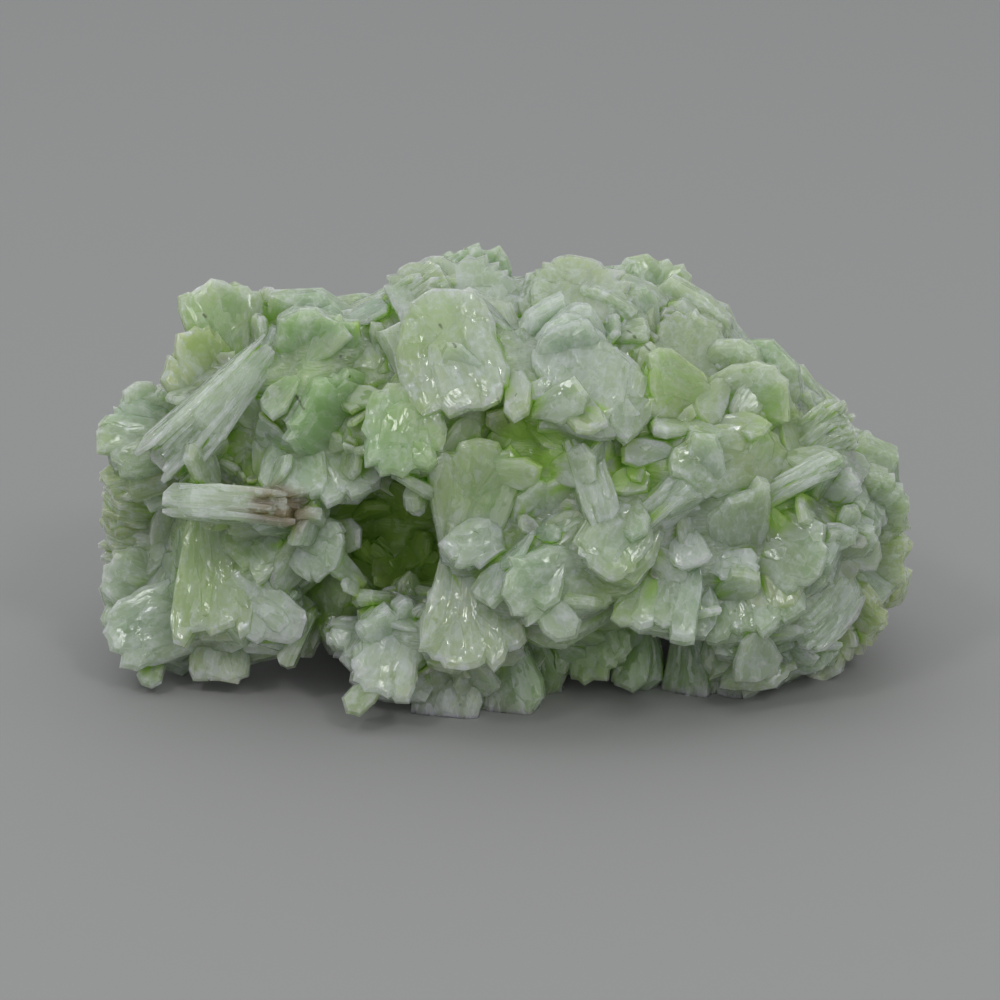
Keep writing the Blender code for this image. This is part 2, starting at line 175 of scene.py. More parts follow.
# %% The crystals of the front
# Place: across, up and depth. Growth: turn in the view, anticlockwise from the right, and rise towards
# the viewer. Roll turns the plates about the growth, from face-on at 0 to edge-on at 90.
# Size: length, width and thickness in millimetres.
FRONT = (
    # The left end, from the top down
    ("top_left_fan", (-20.6, 29.2, -2), (100, 0, 12), (7.8, 8.2, 3.0), FAN),
    ("top_left_edge", (-17.9, 29.2, -1), (85, 0, 60), (6.4, 3.0, 2.2), TABLET),
    ("yellow_fan", (-22.4, 25.6, -4), (125, 10, 20), (7.8, 6.6, 3.4), FAN),
    ("left_end_ridge", (-27.0, 23.2, -3), (110, 10, 30), (4.8, 3.8, 2.4), TABLET),
    ("left_end_fan", (-26.6, 20.7, -5), (185, 10, 25), (8.4, 8.0, 4.0), FAN),
    ("left_end_ledge", (-27.0, 18.2, -6), (195, 0, 50), (6.4, 4.0, 2.4), TABLET),
    ("long_blade", (-21.7, 23.2, -9), (228, 6, 76), (13.0, 5.2, 4.8), FAN),
    ("upper_left_slope", (-13.8, 27.0, -5), (70, 30, 5), (9.6, 9.4, 4.0), TABLET),
    ("blade_side", (-18.6, 21.2, -7), (20, 20, 10), (8.6, 6.6, 3.4), TABLET),
    ("mid_left_slope", (-13.0, 23.0, -8), (150, 40, 0), (9.0, 8.6, 4.0), TABLET),
    ("mid_left_drop", (-15.4, 18.8, -10.5), (270, 30, 5), (6.6, 5.8, 3.2), FAN),
    ("vug_roof", (-11.8, 18.4, -11), (305, 30, -10), (6.4, 6.4, 3.0), FAN),
    # The middle, from the summit down
    ("summit_left", (-9.4, 28.8, 0), (110, 10, 20), (7.4, 7.2, 3.8), TABLET),
    ("summit_shoulder", (-7.0, 30.2, -3), (35, 10, 55), (10.0, 7.0, 4.4), SHEAF),
    ("summit", (-2.6, 30.8, 2), (93, 0, 15), (9.4, 9.4, 5.0), FAN),
    ("broad_tablet", (-3.6, 26.8, -10), (285, 25, 0), (10.4, 9.6, 4.2), TABLET),
    ("round_tablet", (-7.3, 21.2, -13.5), (268, 15, 0), (7.4, 6.8, 3.4), TABLET),
    ("groove_wall", (1.4, 26.6, -9), (265, 20, 65), (7.0, 4.6, 3.0), TABLET),
    ("white_flake_top", (1.7, 31.4, -1.5), (60, 30, 10), (3.8, 3.2, 2.0), TABLET),
    ("top_middle", (3.6, 29.8, 1), (80, 10, 35), (8.8, 8.4, 4.2), FAN),
    ("top_middle_slope", (7.4, 29.2, -3), (60, 35, 0), (8.4, 7.8, 4.0), TABLET),
    ("top_right_peak", (10.4, 30.0, 4), (88, 0, 10), (9.6, 8.8, 4.4), FAN),
    ("top_right_slope", (13.6, 28.0, -1), (40, 30, 5), (9.2, 8.4, 4.0), TABLET),
    ("right_shoulder", (16.2, 25.4, 3), (45, 5, 25), (7.8, 7.2, 3.6), FAN),
    # The centre and its hollows
    ("centre_tablet", (5.6, 24.6, -11.2), (255, 28, 0), (9.8, 10.4, 4.4), TABLET),
    ("centre_small_tablet", (5.0, 28.0, -9.6), (120, 30, 5), (5.6, 5.4, 2.8), TABLET),
    ("pale_bar", (6.5, 17.9, -14.5), (289, 10, 78), (8.4, 3.6, 2.8), TABLET),
    ("behind_bar", (9.4, 20.6, -11), (262, 20, 10), (6.0, 5.4, 2.8), FAN),
    ("hourglass_top", (-2.5, 16.6, -13), (84, 8, 8), (9.4, 8.6, 4.6), FAN),
    ("hourglass_collar", (-2.4, 13.0, -15), (200, 20, 10), (5.6, 4.4, 2.6), TABLET),
    ("hourglass_foot", (-2.4, 8.2, -15), (271, 8, 6), (9.6, 9.2, 4.6), FAN),
    ("beside_bar", (3.0, 16.4, -12.5), (60, 25, 20), (7.4, 6.2, 4.0), TABLET),
    ("low_tablet", (4.8, 10.6, -16), (195, 22, 0), (11.4, 7.6, 4.0), TABLET),
    ("low_tablet_cap", (8.0, 13.0, -16.5), (240, 25, 0), (6.4, 6.2, 2.8), TABLET),
    ("glint_bar", (10.3, 17.4, -12.5), (36, 10, 80), (5.2, 2.6, 1.9), TABLET),
    ("pale_blade", (11.4, 15.4, -14.5), (40, 10, 65), (8.6, 4.2, 2.8), SHEAF),
    # The right end
    ("right_round_tablet", (15.8, 19.2, -12), (188, 28, 0), (10.6, 6.8, 3.6), TABLET),
    ("green_window_wall", (12.6, 24.6, -10), (165, 30, 15), (7.4, 6.2, 3.4), FAN),
    ("right_upper_tablet", (17.6, 23.8, -7), (10, 24, 5), (9.0, 6.2, 3.4), TABLET),
    ("right_corner_tablet", (20.9, 22.6, -3), (20, 20, 10), (7.6, 6.6, 3.4), FAN),
    ("striped_block", (23.2, 20.2, -8), (40, 12, 65), (8.0, 5.2, 4.8), SHEAF),
    ("right_top_fan", (24.6, 19.4, 0), (40, 0, 20), (7.6, 7.2, 3.8), FAN),
    ("right_end_fan", (26.4, 16.6, -5), (15, 12, 40), (8.4, 8.4, 5.0), FAN),
    ("right_end_tablet", (27.0, 12.6, -4), (352, 10, 25), (7.8, 7.4, 4.2), FAN),
    ("right_low_fan", (25.8, 8.8, -5), (325, 8, 45), (7.8, 7.2, 4.4), FAN),
    ("right_inner_tablet", (25.4, 13.8, -9), (60, 45, 10), (6.6, 5.6, 3.2), TABLET),
    ("white_flake_right", (25.2, 17.4, -10), (20, 25, 15), (4.8, 3.4, 1.6), TABLET),
    ("cross_bar", (21.4, 17.4, -11.5), (30, 10, 78), (9.0, 3.0, 2.0), TABLET),
    ("right_middle_fan", (17.6, 15.0, -12), (100, 35, 10), (8.2, 6.0, 4.0), FAN),
    ("right_front_tablet", (21.4, 12.4, -12), (330, 30, 5), (8.0, 7.0, 3.6), TABLET),
    ("white_tablet", (14.0, 12.6, -13.6), (262, 22, 5), (3.8, 3.8, 2.4), TABLET),
    ("white_tablet_low", (17.4, 11.4, -13.2), (275, 22, 5), (2.8, 4.8, 2.2), TABLET),
    ("low_right_tablet", (12.0, 9.6, -14.5), (250, 26, 5), (8.4, 7.6, 3.8), FAN),
    ("low_right_fan", (18.4, 9.0, -12.5), (285, 26, 5), (8.6, 9.0, 4.0), FAN),
    ("low_right_disc", (20.2, 9.8, -13), (290, 20, 5), (5.4, 5.4, 2.6), TABLET),
    ("clear_block", (24.2, 8.2, -11.5), (228, 28, 55), (7.2, 3.8, 3.8), TABLET),
    ("right_under_fan", (23.8, 6.8, -5), (305, 5, 30), (7.4, 7.2, 4.0), FAN),
    ("low_right_skirt", (18.6, 5.8, -9), (276, 10, 10), (7.6, 8.6, 4.2), FAN),
    ("low_right_corner", (21.8, 5.6, -8), (295, 8, 15), (6.6, 6.6, 4.0), FAN),
    # Below the left end and beside the vug
    ("brown_crust", (-26.8, 15.6, -2), (172, 5, 60), (7.2, 5.2, 4.4), FAN),
    ("brown_crust_low", (-27.0, 12.8, -2), (188, 5, 60), (6.6, 4.6, 4.2), FAN),
    ("left_low_chip", (-27.2, 10.2, -5), (165, 12, 15), (6.2, 5.4, 2.8), FAN),
    ("flat_bar", (-20.0, 16.0, -12.5), (356, 4, 82), (10.6, 4.4, 2.8), TABLET),
    ("great_fan", (-20.8, 10.6, -9), (276, 12, 8), (11.4, 9.4, 5.0), FAN),
    ("left_low_tablet", (-25.6, 7.0, -7.5), (205, 8, 0), (9.0, 6.8, 3.4), TABLET),
    ("left_foot_fan", (-20.7, 5.4, -8.5), (268, 0, 10), (6.0, 5.4, 3.4), FAN),
    ("serrated_tablet", (-18.2, 8.3, -11), (325, 10, 5), (8.2, 5.8, 3.0), TABLET),
    ("left_inner_tablet", (-17.8, 12.6, -9.5), (300, 30, 5), (6.4, 6.2, 3.4), TABLET),
    ("vug_left_lip", (-14.2, 13.2, -11), (330, 28, 10), (6.6, 5.6, 3.2), FAN),
    ("vug_left_wall", (-13.6, 9.2, -6), (285, 18, 15), (8.0, 6.6, 4.4), FAN),
    ("vug_chip", (-7.2, 9.2, -9.5), (120, 20, 20), (4.4, 2.8, 2.2), TABLET),
    ("frosted_lump", (-8.9, 6.9, -13.4), (110, 30, 15), (4.8, 4.8, 3.8), FAN),
    ("frosted_tablet", (-8.4, 4.8, -14.5), (255, 15, 5), (7.0, 6.6, 3.6), FAN),
    ("frosted_side", (-10.9, 6.0, -12), (195, 8, 20), (5.4, 4.6, 3.2), FAN),
    # Under the front
    ("front_foot", (-4.0, 2.8, -12), (272, -10, 10), (7.6, 6.6, 4.4), FAN),
    ("front_foot_right", (0.6, 3.0, -11.5), (282, -10, 15), (7.6, 6.4, 4.2), FAN),
    ("under_front", (6.6, 6.6, -8.5), (285, -5, 20), (7.6, 8.2, 4.6), FAN),
    ("under_nub_left", (10.0, 4.8, -8.5), (268, 5, 20), (6.0, 3.8, 3.0), FAN),
    ("under_nub_middle", (14.0, 3.0, -8.5), (272, 0, 20), (7.0, 4.6, 3.2), FAN),
    ("under_nub_right", (17.2, 3.8, -8.5), (278, 5, 20), (6.4, 4.8, 3.2), FAN),
)

# Faces that lean back between the crystals of the front and the crest
LEANING = (
    ("summit_face", (-3.4, 30.2, -4.5), (96, -42, 5), (10.5, 11.5, 3.2), TABLET),
    ("crest_face", (5.2, 30.8, -4.5), (78, -42, 0), (8.5, 9.0, 3.0), TABLET),
    ("left_crest_face", (-10.5, 27.2, -5.5), (115, -30, 0), (8.5, 9.0, 3.0), TABLET),
    ("right_crest_face", (13.5, 26.0, -5.0), (60, -30, 0), (8.5, 9.0, 3.0), TABLET),
)
print(len(FRONT) + len(LEANING), "crystals laid out by hand")

# %% [markdown]
# ## What each crystal's stone is like
#
# The stone isn't one green. Some crystals are frosted white with tiny fractures, some lean to yellow, and
# some glint more than others. A few lines name the crystals that differ, and the rest take a small random
# share. The three shares go into the mesh as one vector, the crystal's nature, for the material to read.
#
# %% Frosted, yellow and glinting crystals
FROST = {
    "white_tablet": 0.6, "white_tablet_low": 0.6, "white_flake_right": 0.8, "white_flake_top": 0.85,
    "long_blade": 0.55, "round_tablet": 0.0, "mid_left_slope": 0.0, "upper_left_slope": 0.05,
    "pale_bar": 0.5, "pale_blade": 0.5, "cross_bar": 0.6, "serrated_tablet": 0.55,
    "frosted_lump": 0.6, "frosted_tablet": 0.5, "frosted_side": 0.5, "front_foot": 0.45,
    "centre_tablet": 0.45, "centre_small_tablet": 0.6, "broad_tablet": 0.4, "flat_bar": 0.5,
    "hourglass_collar": 0.45, "clear_block": 0.35, "left_end_ridge": 0.35, "hourglass_foot": 0.3,
}
YELLOW = {
    "yellow_fan": 0.9, "low_right_disc": 0.6, "right_end_tablet": 0.5, "right_low_fan": 0.8,
    "right_under_fan": 0.7, "left_end_ledge": 0.6, "brown_crust": 0.6, "brown_crust_low": 0.6,
    "broad_tablet": 0.35, "round_tablet": 0.0, "mid_left_slope": 0.0, "hourglass_foot": 0.4,
    "great_fan": 0.4,
}
SPARKLE = {
    "glint_bar": 1.0, "pale_bar": 0.7, "long_blade": 0.8, "striped_block": 1.0, "clear_block": 0.9,
    "centre_tablet": 0.6, "broad_tablet": 0.5, "summit_shoulder": 0.7, "cross_bar": 0.7,
    "pale_blade": 0.6, "left_end_ridge": 0.8, "hourglass_foot": 0.5, "frosted_tablet": 0.6,
}
PLAIN_FROST = 0.3
PLAIN_YELLOW = 0.35
PLAIN_SPARKLE = 0.3


def nature_of(name, rng):
    """Whiteness, yellowness and sparkle of this crystal."""
    traits = ((FROST, PLAIN_FROST), (YELLOW, PLAIN_YELLOW), (SPARKLE, PLAIN_SPARKLE))
    return Vector(named.get(name, rng.uniform(0, most)) for named, most in traits)


# %% [markdown]
# ## The crystals that the view doesn't show
#
# Four fans reach the floor behind and beside the front ones. All over the back, the top and the underside
# lie crystals like shingles, spread along a spiral that covers a sphere evenly. They use the same seed
# and rules as the plain solid, so each grows where that has it.
#
# %% Feet and spread crystals
FEET = (
    ((-15.0, 9.0), 20, (10.0, 7.0, 4.6)),
    ((13.0, 11.0), 25, (10.0, 7.4, 4.6)),
    ((15.5, -7.0), 15, (8.0, 6.4, 4.2)),
    ((-4.0, 13.0), 25, (9.0, 6.6, 4.0)),
)
FOOT_SINK = 0.5

BACK_SEED = 11
SPREAD_COUNT = 130
SPREAD_CENTRE = Vector((0.5, 2.5, 14.3))
SPREAD_HALF = Vector((25.0, 13.0, 11.5))
SPREAD_FAR = 40.0
SPREAD_STEP = 0.2
SPREAD_PROUD = 0.4
FRONT_LIMIT = 0.3
NEAR_ENOUGH = 4.4
CLEARANCE = 0.7
GOLDEN_ANGLE = math.pi * (3 - math.sqrt(5))
BACK_LEANS = (0.1, 0.9)
BACK_ROLL = 50
BACK_LENGTHS = (7.0, 9.5)
BACK_WIDTHS = (0.75, 0.98)
BACK_THICKNESSES = (2.6, 3.8)

# The highest that those crystals may show over the front ones: across and up, from left to right
SKYLINE = (
    (-30, 19), (-27, 24), (-24, 27), (-20, 31), (-16, 30), (-11, 31), (-3, 35),
    (5, 33), (11, 34), (18, 29), (24, 23.5), (28, 19), (30, 13),
)


def skyline_excess(point):
    """How far this point is seen above the skyline, as a length up the view plane."""
    across, up = in_view(point)
    for (left, low), (right, high) in zip(SKYLINE, SKYLINE[1:]):
        if left <= across <= right:
            return up - low - (high - low) * (across - left) / (right - left)
    return 0


# %% How a crystal is turned, and the three lists of crystals
def turned(growth, facing, roll):
    """The rotation whose Y is the growth and whose Z is the plates' normal, rolled about the growth."""
    normal = (facing - growth * facing.dot(growth)).normalized()
    normal = Matrix.Rotation(math.radians(roll), 3, growth) @ normal
    width = growth.cross(normal)
    return Matrix((width, growth, normal)).transposed()


def placed_crystals(rows):
    """Name, place, rotation, roll, size and habit of each listed crystal."""
    for name, place, (turn, rise, roll), size, habit in rows:
        turn, rise = math.radians(turn), math.radians(rise)
        heading = RIGHT * math.cos(turn) + UPWARD * math.sin(turn)
        growth = heading * math.cos(rise) + TOWARD * math.sin(rise)
        yield name, seen(*place), turned(growth, TOWARD, roll), roll, size, habit


def foot_crystals():
    """Fans that grow down and outwards to the surface that the lump lies on."""
    for (x, y), lean, size in FEET:
        outward = Vector((x, y, 0)).normalized()
        lean = math.radians(lean)
        growth = outward * math.sin(lean) - Vector((0, 0, 1)) * math.cos(lean)
        tip = Vector((x, y, -FOOT_SINK))
        yield "foot", tip - growth * size[0] / 2, turned(growth, outward, 0), 0, size, FAN


def heart_surface(outward):
    """The outermost point of the heart in this direction from its centre."""
    reach = SPREAD_FAR
    while reach > 0:
        point = SPREAD_CENTRE + outward * reach
        for centre, half in HEART:
            if Vector((p - c) / h for p, c, h in zip(point, centre, half)).length < 1:
                return point
        reach -= SPREAD_STEP
    return SPREAD_CENTRE


def even_directions(count):
    """Directions spread evenly over a sphere, along a spiral."""
    for index in range(count):
        height = 1 - 2 * (index + 0.5) / count
        around = index * GOLDEN_ANGLE
        flat = math.sqrt(1 - height * height)
        yield Vector((math.cos(around) * flat, math.sin(around) * flat, height))


def spread_crystals(taken):
    """Crystals over the back, the top and the underside, where none is listed."""
    rng = random.Random(BACK_SEED)
    for direction in even_directions(SPREAD_COUNT):
        outward = Vector(a * b for a, b in zip(direction, SPREAD_HALF)).normalized()
        sideways = outward.cross(Vector(rng.uniform(-1, 1) for _ in range(3))).normalized()
        growth = (sideways + outward * rng.uniform(*BACK_LEANS)).normalized()
        roll = rng.uniform(-BACK_ROLL, BACK_ROLL)
        length = rng.uniform(*BACK_LENGTHS)
        place = heart_surface(outward) + outward * SPREAD_PROUD
        size = (length, length * rng.uniform(*BACK_WIDTHS), rng.uniform(*BACK_THICKNESSES))
        habit = rng.choice((FAN, FAN, TABLET, SHEAF))
        crowded = any((place - other).length < NEAR_ENOUGH for other in taken)
        if outward.dot(TOWARD) < FRONT_LIMIT and not crowded:
            yield "spread", place, turned(growth, outward, roll), roll, size, habit


crystals = list(placed_crystals(FRONT)) + list(foot_crystals())
crystals += list(spread_crystals([crystal[1] for crystal in crystals]))
crystals += list(placed_crystals(LEANING))
print(len(crystals), "crystals in all")

# %% [markdown]
# ## One blade
#
# A crystal of prehnite is a stack of thin blades, each with a ragged, toothed outline and a soft rim.
# A blade starts as a low prism. Each cap is extruded and drawn in once or twice, for a thin rim and a
# slightly uneven face. Then the corners are moved to the outline, and the whole is drawn in where the
# habit is narrow. Every blade also takes along three things that the material needs: its grain, which is
# where a point lies across, along and through the crystal, its nature, and how near it lies to the rim.
#
# %% The outline and the habit
SQUARENESS = 2.4
CUTS = (3, 7)
CUT_REACH = (0.7, 1.0)
RAGGED = 0.05
TOOTH = 0.025
CUT_SPAN = 0.3
NOTCH_CHANCE = 0.1
NOTCH = 0.88


def share_at(along, habit):
    """Share of the full width or thickness at this share of the length."""
    along = min(max(along, 0), 1)
    grown = abs(2 * along - 1) if habit["waist"] else along
    return habit["narrow"] + (1 - habit["narrow"]) * grown


def toothed_outline(sides, rng):
    """How far each corner of a blade reaches, as a share of the plain outline: a few straight cuts
    take off its roundness, and the rest is a fine toothed edge."""
    cuts = [(rng.uniform(0, math.tau), rng.uniform(*CUT_REACH)) for _ in range(rng.randint(*CUTS))]
    reach = []
    for corner in range(sides):
        angle = corner / sides * math.tau
        facing = [(math.cos(angle - turn), away) for turn, away in cuts]
        straight = min([away / ahead for ahead, away in facing if ahead > CUT_SPAN] + [1])
        notch = NOTCH if rng.random() < NOTCH_CHANCE else 1
        tooth = 1 + TOOTH * (-1) ** corner + rng.uniform(-RAGGED, RAGGED)
        reach.append(straight * tooth * notch)
    return reach


# %% The blade
# Rings of a cap, from the rim inwards: share of the outline, share of half the thickness, and rim value
SOFT_RINGS = ((0.9, 0.8, 0.5), (0.66, 1.0, 0.0))
THIN_RINGS = ((0.86, 1.0, 0.3),)
RIM_HEIGHT = 0.4
UNEVEN = 0.1
STEADY = 0.35
WOBBLE = (("X", 1.6), ("Y", 3.0), ("Z", 2.5))
OFFSETS = 60.0


def mark_faces(bm, nature, grain_of):
    """Writes the nature and the grain to every corner of every face."""
    grain = bm.loops.layers.float_vector.new("grain")
    own_nature = bm.loops.layers.float_vector.new("nature")
    for face in bm.faces:
        for loop in face.loops:
            loop[grain] = grain_of(loop.vert)
            loop[own_nature] = nature


def blade_mesh(crystal, blade, rng):
    """One blade of a crystal, as a closed mesh of its own in millimetres.

    A blade is its middle (across, along, through, from the crystal's middle), size, sides and rings.
    """
    _, centre, rotation, _, (full_length, _, _), habit, nature = crystal
    (across, along, through), (length, width, thickness), sides, rings = blade
    bm = bmesh.new()
    made = bmesh.ops.create_cone(
        bm, cap_ends=True, segments=sides, radius1=1, radius2=1, depth=2
    )
    rim = bm.verts.layers.float.new("rim")
    for vert in bm.verts:
        vert.co.z *= RIM_HEIGHT
        vert[rim] = 1
    caps = [face for face in bm.faces if abs(face.normal.z) > 0.5]
    for cap in caps:
        side = math.copysign(1, cap.normal.z)
        for share, height, closeness in rings:
            cap = bmesh.ops.extrude_discrete_faces(bm, faces=[cap])["faces"][0]
            drawn_in = share / cap.verts[0].co.xy.length
            for vert in cap.verts:
                vert.co = Vector((vert.co.x * drawn_in, vert.co.y * drawn_in, side * height))
                vert.co.z += rng.uniform(-UNEVEN, UNEVEN)
                vert[rim] = closeness
        bmesh.ops.poke(bm, faces=[cap])
    bmesh.ops.triangulate(bm, faces=bm.faces)
    reach = toothed_outline(sides, rng)
    turn = rng.uniform(0, 1)
    slide = Vector(rng.uniform(0, OFFSETS) for _ in range(3))
    grains = {}
    for vert in bm.verts:
        radius = vert.co.xy.length
        corner = round(math.atan2(vert.co.y, vert.co.x) / math.tau * sides)
        angle = (corner + turn) / sides * math.tau
        flat = [
            radius * reach[corner % sides] * math.copysign(abs(c) ** (2 / SQUARENESS), c)
            for c in (math.cos(angle), math.sin(angle))
        ]
        local = Vector(
            (
                across + flat[0] * width / 2,
                along + flat[1] * length / 2,
                through + vert.co.z * thickness / 2,
            )
        )
        share = share_at(local.y / full_length + 0.5, habit)
        grains[vert] = local + slide
        vert.co = Vector((local.x * share, local.y, local.z * share))
    mark_faces(bm, nature, lambda vert: grains[vert])
    tilt = Matrix.Identity(4)
    steadiness = STEADY if rings is THIN_RINGS else 1
    for axis, most in WOBBLE:
        turn_by = math.radians(rng.uniform(-most, most)) * steadiness
        tilt = tilt @ Matrix.Rotation(turn_by, 4, axis)
    place = Matrix.Translation(centre) @ rotation.to_4x4() @ tilt
    bmesh.ops.transform(bm, matrix=place, verts=bm.verts)
    return bm


# %% [markdown]
# ## From blades to a crystal
#
# Seen on its face, a tablet is a few broad plates with low terraces where growth stopped and went on. A
# fan has the same plates, and ribs that spread from its root. Seen on edge, a crystal is a pack of thin
# plates that splay a little, and their edges give the bright fine lines.
#
# %% The blades of each kind of crystal
EDGE_ON = 50
FRONT_PITCH = (4.8, 2.3, 1.7)
BACK_PITCH = (2.2, 1.7, 1.3)
LEAST_SIDES = 9
BACKING_SIDES = 18
RIB_SIDES = 12
PACK_SIDES = 10
TERRACE_SIDES = 14
TOP_PLATE = 0.34
LOWER_PLATES = (0.94, 0.9)
BEHIND = (0.35, 0.85)
PACK_PITCH = 0.5

# Crystals round the deep hollow, which has to stay open, and along the outline, which has its notches
KEPT_NARROW = (
    "vug_roof", "round_tablet", "hourglass_top", "hourglass_foot", "hourglass_collar",
    "vug_left_lip", "vug_left_wall", "vug_chip", "frosted_lump", "frosted_side", "top_left_fan",
    "top_left_edge", "yellow_fan", "left_end_ridge", "left_end_fan", "left_end_ledge", "summit",
    "top_middle", "top_right_peak", "right_shoulder", "right_top_fan", "left_foot_fan",
    "white_flake_top", "white_flake_right", "white_tablet", "white_tablet_low",
)


def broad_plates(size, pitch, rng):
    """A thin plate over two smaller ones that overlap it, so that its rim stands free like a shingle's."""
    length, width, thickness = size
    sides = [max(LEAST_SIDES, round(width * corners / 2) * 2) for corners in pitch]
    top = thickness * TOP_PLATE
    rest = (thickness - top * 0.7) / 2
    levels = (
        (thickness / 2 - top / 2, top, 1.0),
        (thickness / 2 - top * 0.8 - rest / 2, rest * 1.3, LOWER_PLATES[0]),
        (-thickness / 2 + rest / 2, rest * 1.2, LOWER_PLATES[1]),
    )
    for (through, each, share), corners in zip(levels, sides):
        shorter, narrower = share * rng.uniform(0.95, 1), share * rng.uniform(0.95, 1)
        middle = (rng.uniform(-0.1, 0.1), -length * (1 - shorter) / 2, through)
        rings = SOFT_RINGS if share == 1 else THIN_RINGS
        yield middle, (length * shorter, width * narrower, each), corners, rings


def backing_plates(size, rng):
    """Wider plates behind a crystal of the front, which close the gaps between it and the next one."""
    length, width, thickness = size
    for behind in BEHIND:
        wider, longer = rng.uniform(1.15, 1.4), rng.uniform(1.0, 1.2)
        across = rng.uniform(-0.12, 0.12) * width
        along = -length * rng.uniform(0.05, 0.2)
        middle = (across, along, -thickness * behind)
        yield middle, (length * longer, width * wider, thickness * 0.6), BACKING_SIDES, THIN_RINGS


def terraces(size, rng):
    """Low steps on the face that points outwards."""
    length, width, thickness = size
    for _ in range(rng.choice((1, 2, 2, 3))):
        share = rng.uniform(0.35, 0.72)
        lift = rng.uniform(0.03, 0.2)
        across = rng.uniform(-1, 1) * width * (1 - share) / 2 * 0.8
        along = rng.uniform(-0.6, 1) * length * (1 - share) / 2 * 0.8
        middle = (across, along, thickness / 4 + lift)
        yield middle, (length * share, width * share, thickness / 2), TERRACE_SIDES, SOFT_RINGS


def ribs(size, rng):
    """Narrow blades that spread from the root of a fan."""
    length, width, thickness = size
    count = max(3, round(width / 2))
    for index in range(count):
        across = ((index + 0.5) / count - 0.5) * width * 0.9 + rng.uniform(-0.2, 0.2)
        shorter = rng.uniform(0.8, 1.0)
        lift = rng.uniform(-0.12, 0.12)
        middle = (across, -length * (1 - shorter) / 2, thickness / 4 + lift)
        across_size = width / count * rng.uniform(1.3, 1.9)
        yield middle, (length * shorter, across_size, thickness / 2), RIB_SIDES, SOFT_RINGS


def packed_plates(size, rng):
    """Thin plates through the whole thickness, for a crystal that is seen on edge."""
    length, width, thickness = size
    count = max(5, round(thickness / PACK_PITCH))
    each = thickness / count * 1.8
    core = (length * 0.96, width * 0.9, thickness * 0.92)
    yield (0, -length * 0.02, 0), core, BACKING_SIDES, THIN_RINGS
    for index in range(count):
        through = (index - (count - 1) / 2) * (thickness - each) / (count - 1)
        shorter, narrower = rng.uniform(0.88, 1), rng.uniform(0.9, 1)
        along = length * (1 - shorter) / 2 * rng.uniform(-1, 0.2)
        middle = (rng.uniform(-0.15, 0.15), along, through)
        yield middle, (length * shorter, width * narrower, each), PACK_SIDES, THIN_RINGS


def blades_of(crystal, rng):
    """All blades of a crystal."""
    name, _, _, roll, size, habit, _ = crystal
    if abs(roll) >= EDGE_ON:
        yield from packed_plates(size, rng)
        return
    yield from broad_plates(size, BACK_PITCH if name == "spread" else FRONT_PITCH, rng)
    if name not in ("spread", "foot", *KEPT_NARROW):
        yield from backing_plates(size, rng)
    yield from ribs(size, rng) if habit is not TABLET else terraces(size, rng)


# %% Keeping a crystal under the skyline and off the floor
def keep_in_place(meshes):
    """Lowers a crystal under the skyline, and raises it where it would end too near the floor."""
    verts = [vert for bm in meshes for vert in bm.verts]
    excess = max(skyline_excess(vert.co) for vert in verts)
    step = -UPWARD * max(excess, 0)
    lowest = min(vert.co.z for vert in verts) + step.z
    step.z += max(CLEARANCE - lowest, 0)
    for bm in meshes:
        bmesh.ops.translate(bm, vec=step, verts=bm.verts)


def mesh_object(name, bm, collection):
    """A mesh object from a bmesh, which is freed."""
    mesh = bpy.data.meshes.new(name)
    bm.to_mesh(mesh)
    bm.free()
    obj = bpy.data.objects.new(name, mesh)
    collection.objects.link(obj)
    return obj


# %% Grow all crystals
BLADE_SEED = 300
growing = bpy.data.collections.new("growing")
bpy.context.scene.collection.children.link(growing)

for index, crystal in enumerate(crystals):
    rng = random.Random(BLADE_SEED + index)
    crystal = (*crystal, nature_of(crystal[0], rng))
    meshes = [blade_mesh(crystal, blade, rng) for blade in blades_of(crystal, rng)]
    if crystal[0] == "spread":
        keep_in_place(meshes)
    for bm in meshes:
        mesh_object(crystal[0], bm, growing)

# %% [markdown]
# ## The heart and the small crystals
#
# Behind the crystals lie rounded masses of the same stone, under a rough skin that closes the narrow gaps
# between the plain solid's crystals. Modifiers make that skin: remeshing evens it out, and moving it
# outwards and back in closes what is narrow. Wherever no blade covers it, small crystals lie on it like
# scales, and more of them sit in the nooks, because a real lump has a crust of little tablets there.
#
# %% The heart
HEART_SHARE = 0.9
HEART_NATURE = (0.1, 0.3, 0.5)
for centre, half in HEART:
    bm = bmesh.new()
    bmesh.ops.create_icosphere(bm, subdivisions=3, radius=1)
    bmesh.ops.scale(bm, vec=Vector(half) * HEART_SHARE, verts=bm.verts)
    bmesh.ops.translate(bm, vec=centre, verts=bm.verts)
    bm.verts.layers.float.new("rim")
    mark_faces(bm, HEART_NATURE, lambda vert: vert.co)
    mesh_object("heart", bm, growing)
print(len(HEART), "masses in the heart")

# %% The stone between the crystals
VOXEL = 0.72
GAP = 0.9
BELOW = 0.7
CRUST_GRAIN = 2.2
CRUST_RELIEF = 1.5
CRUST_NATURE = (0.15, 0.3, 0.5)
SAME_CORNER = 1e-6
PROUD = 0.25

cad_mesh = frame["nodes"][NODE].data
cad_surface = BVHTree.FromPolygons(
    [vert.co / MM - CENTRING for vert in cad_mesh.vertices],
    [tuple(face.vertices) for face in cad_mesh.polygons],
)


def add_remesh(obj):
    """Rebuilds the surface from small cubes."""
    remesh = obj.modifiers.new("remesh", "REMESH")
    remesh.mode = "VOXEL"
    remesh.voxel_size = VOXEL


def add_offset(obj, distance):
    """Moves the surface outwards."""
    displace = obj.modifiers.new("offset", "DISPLACE")
    displace.mid_level = 0
    displace.strength = distance


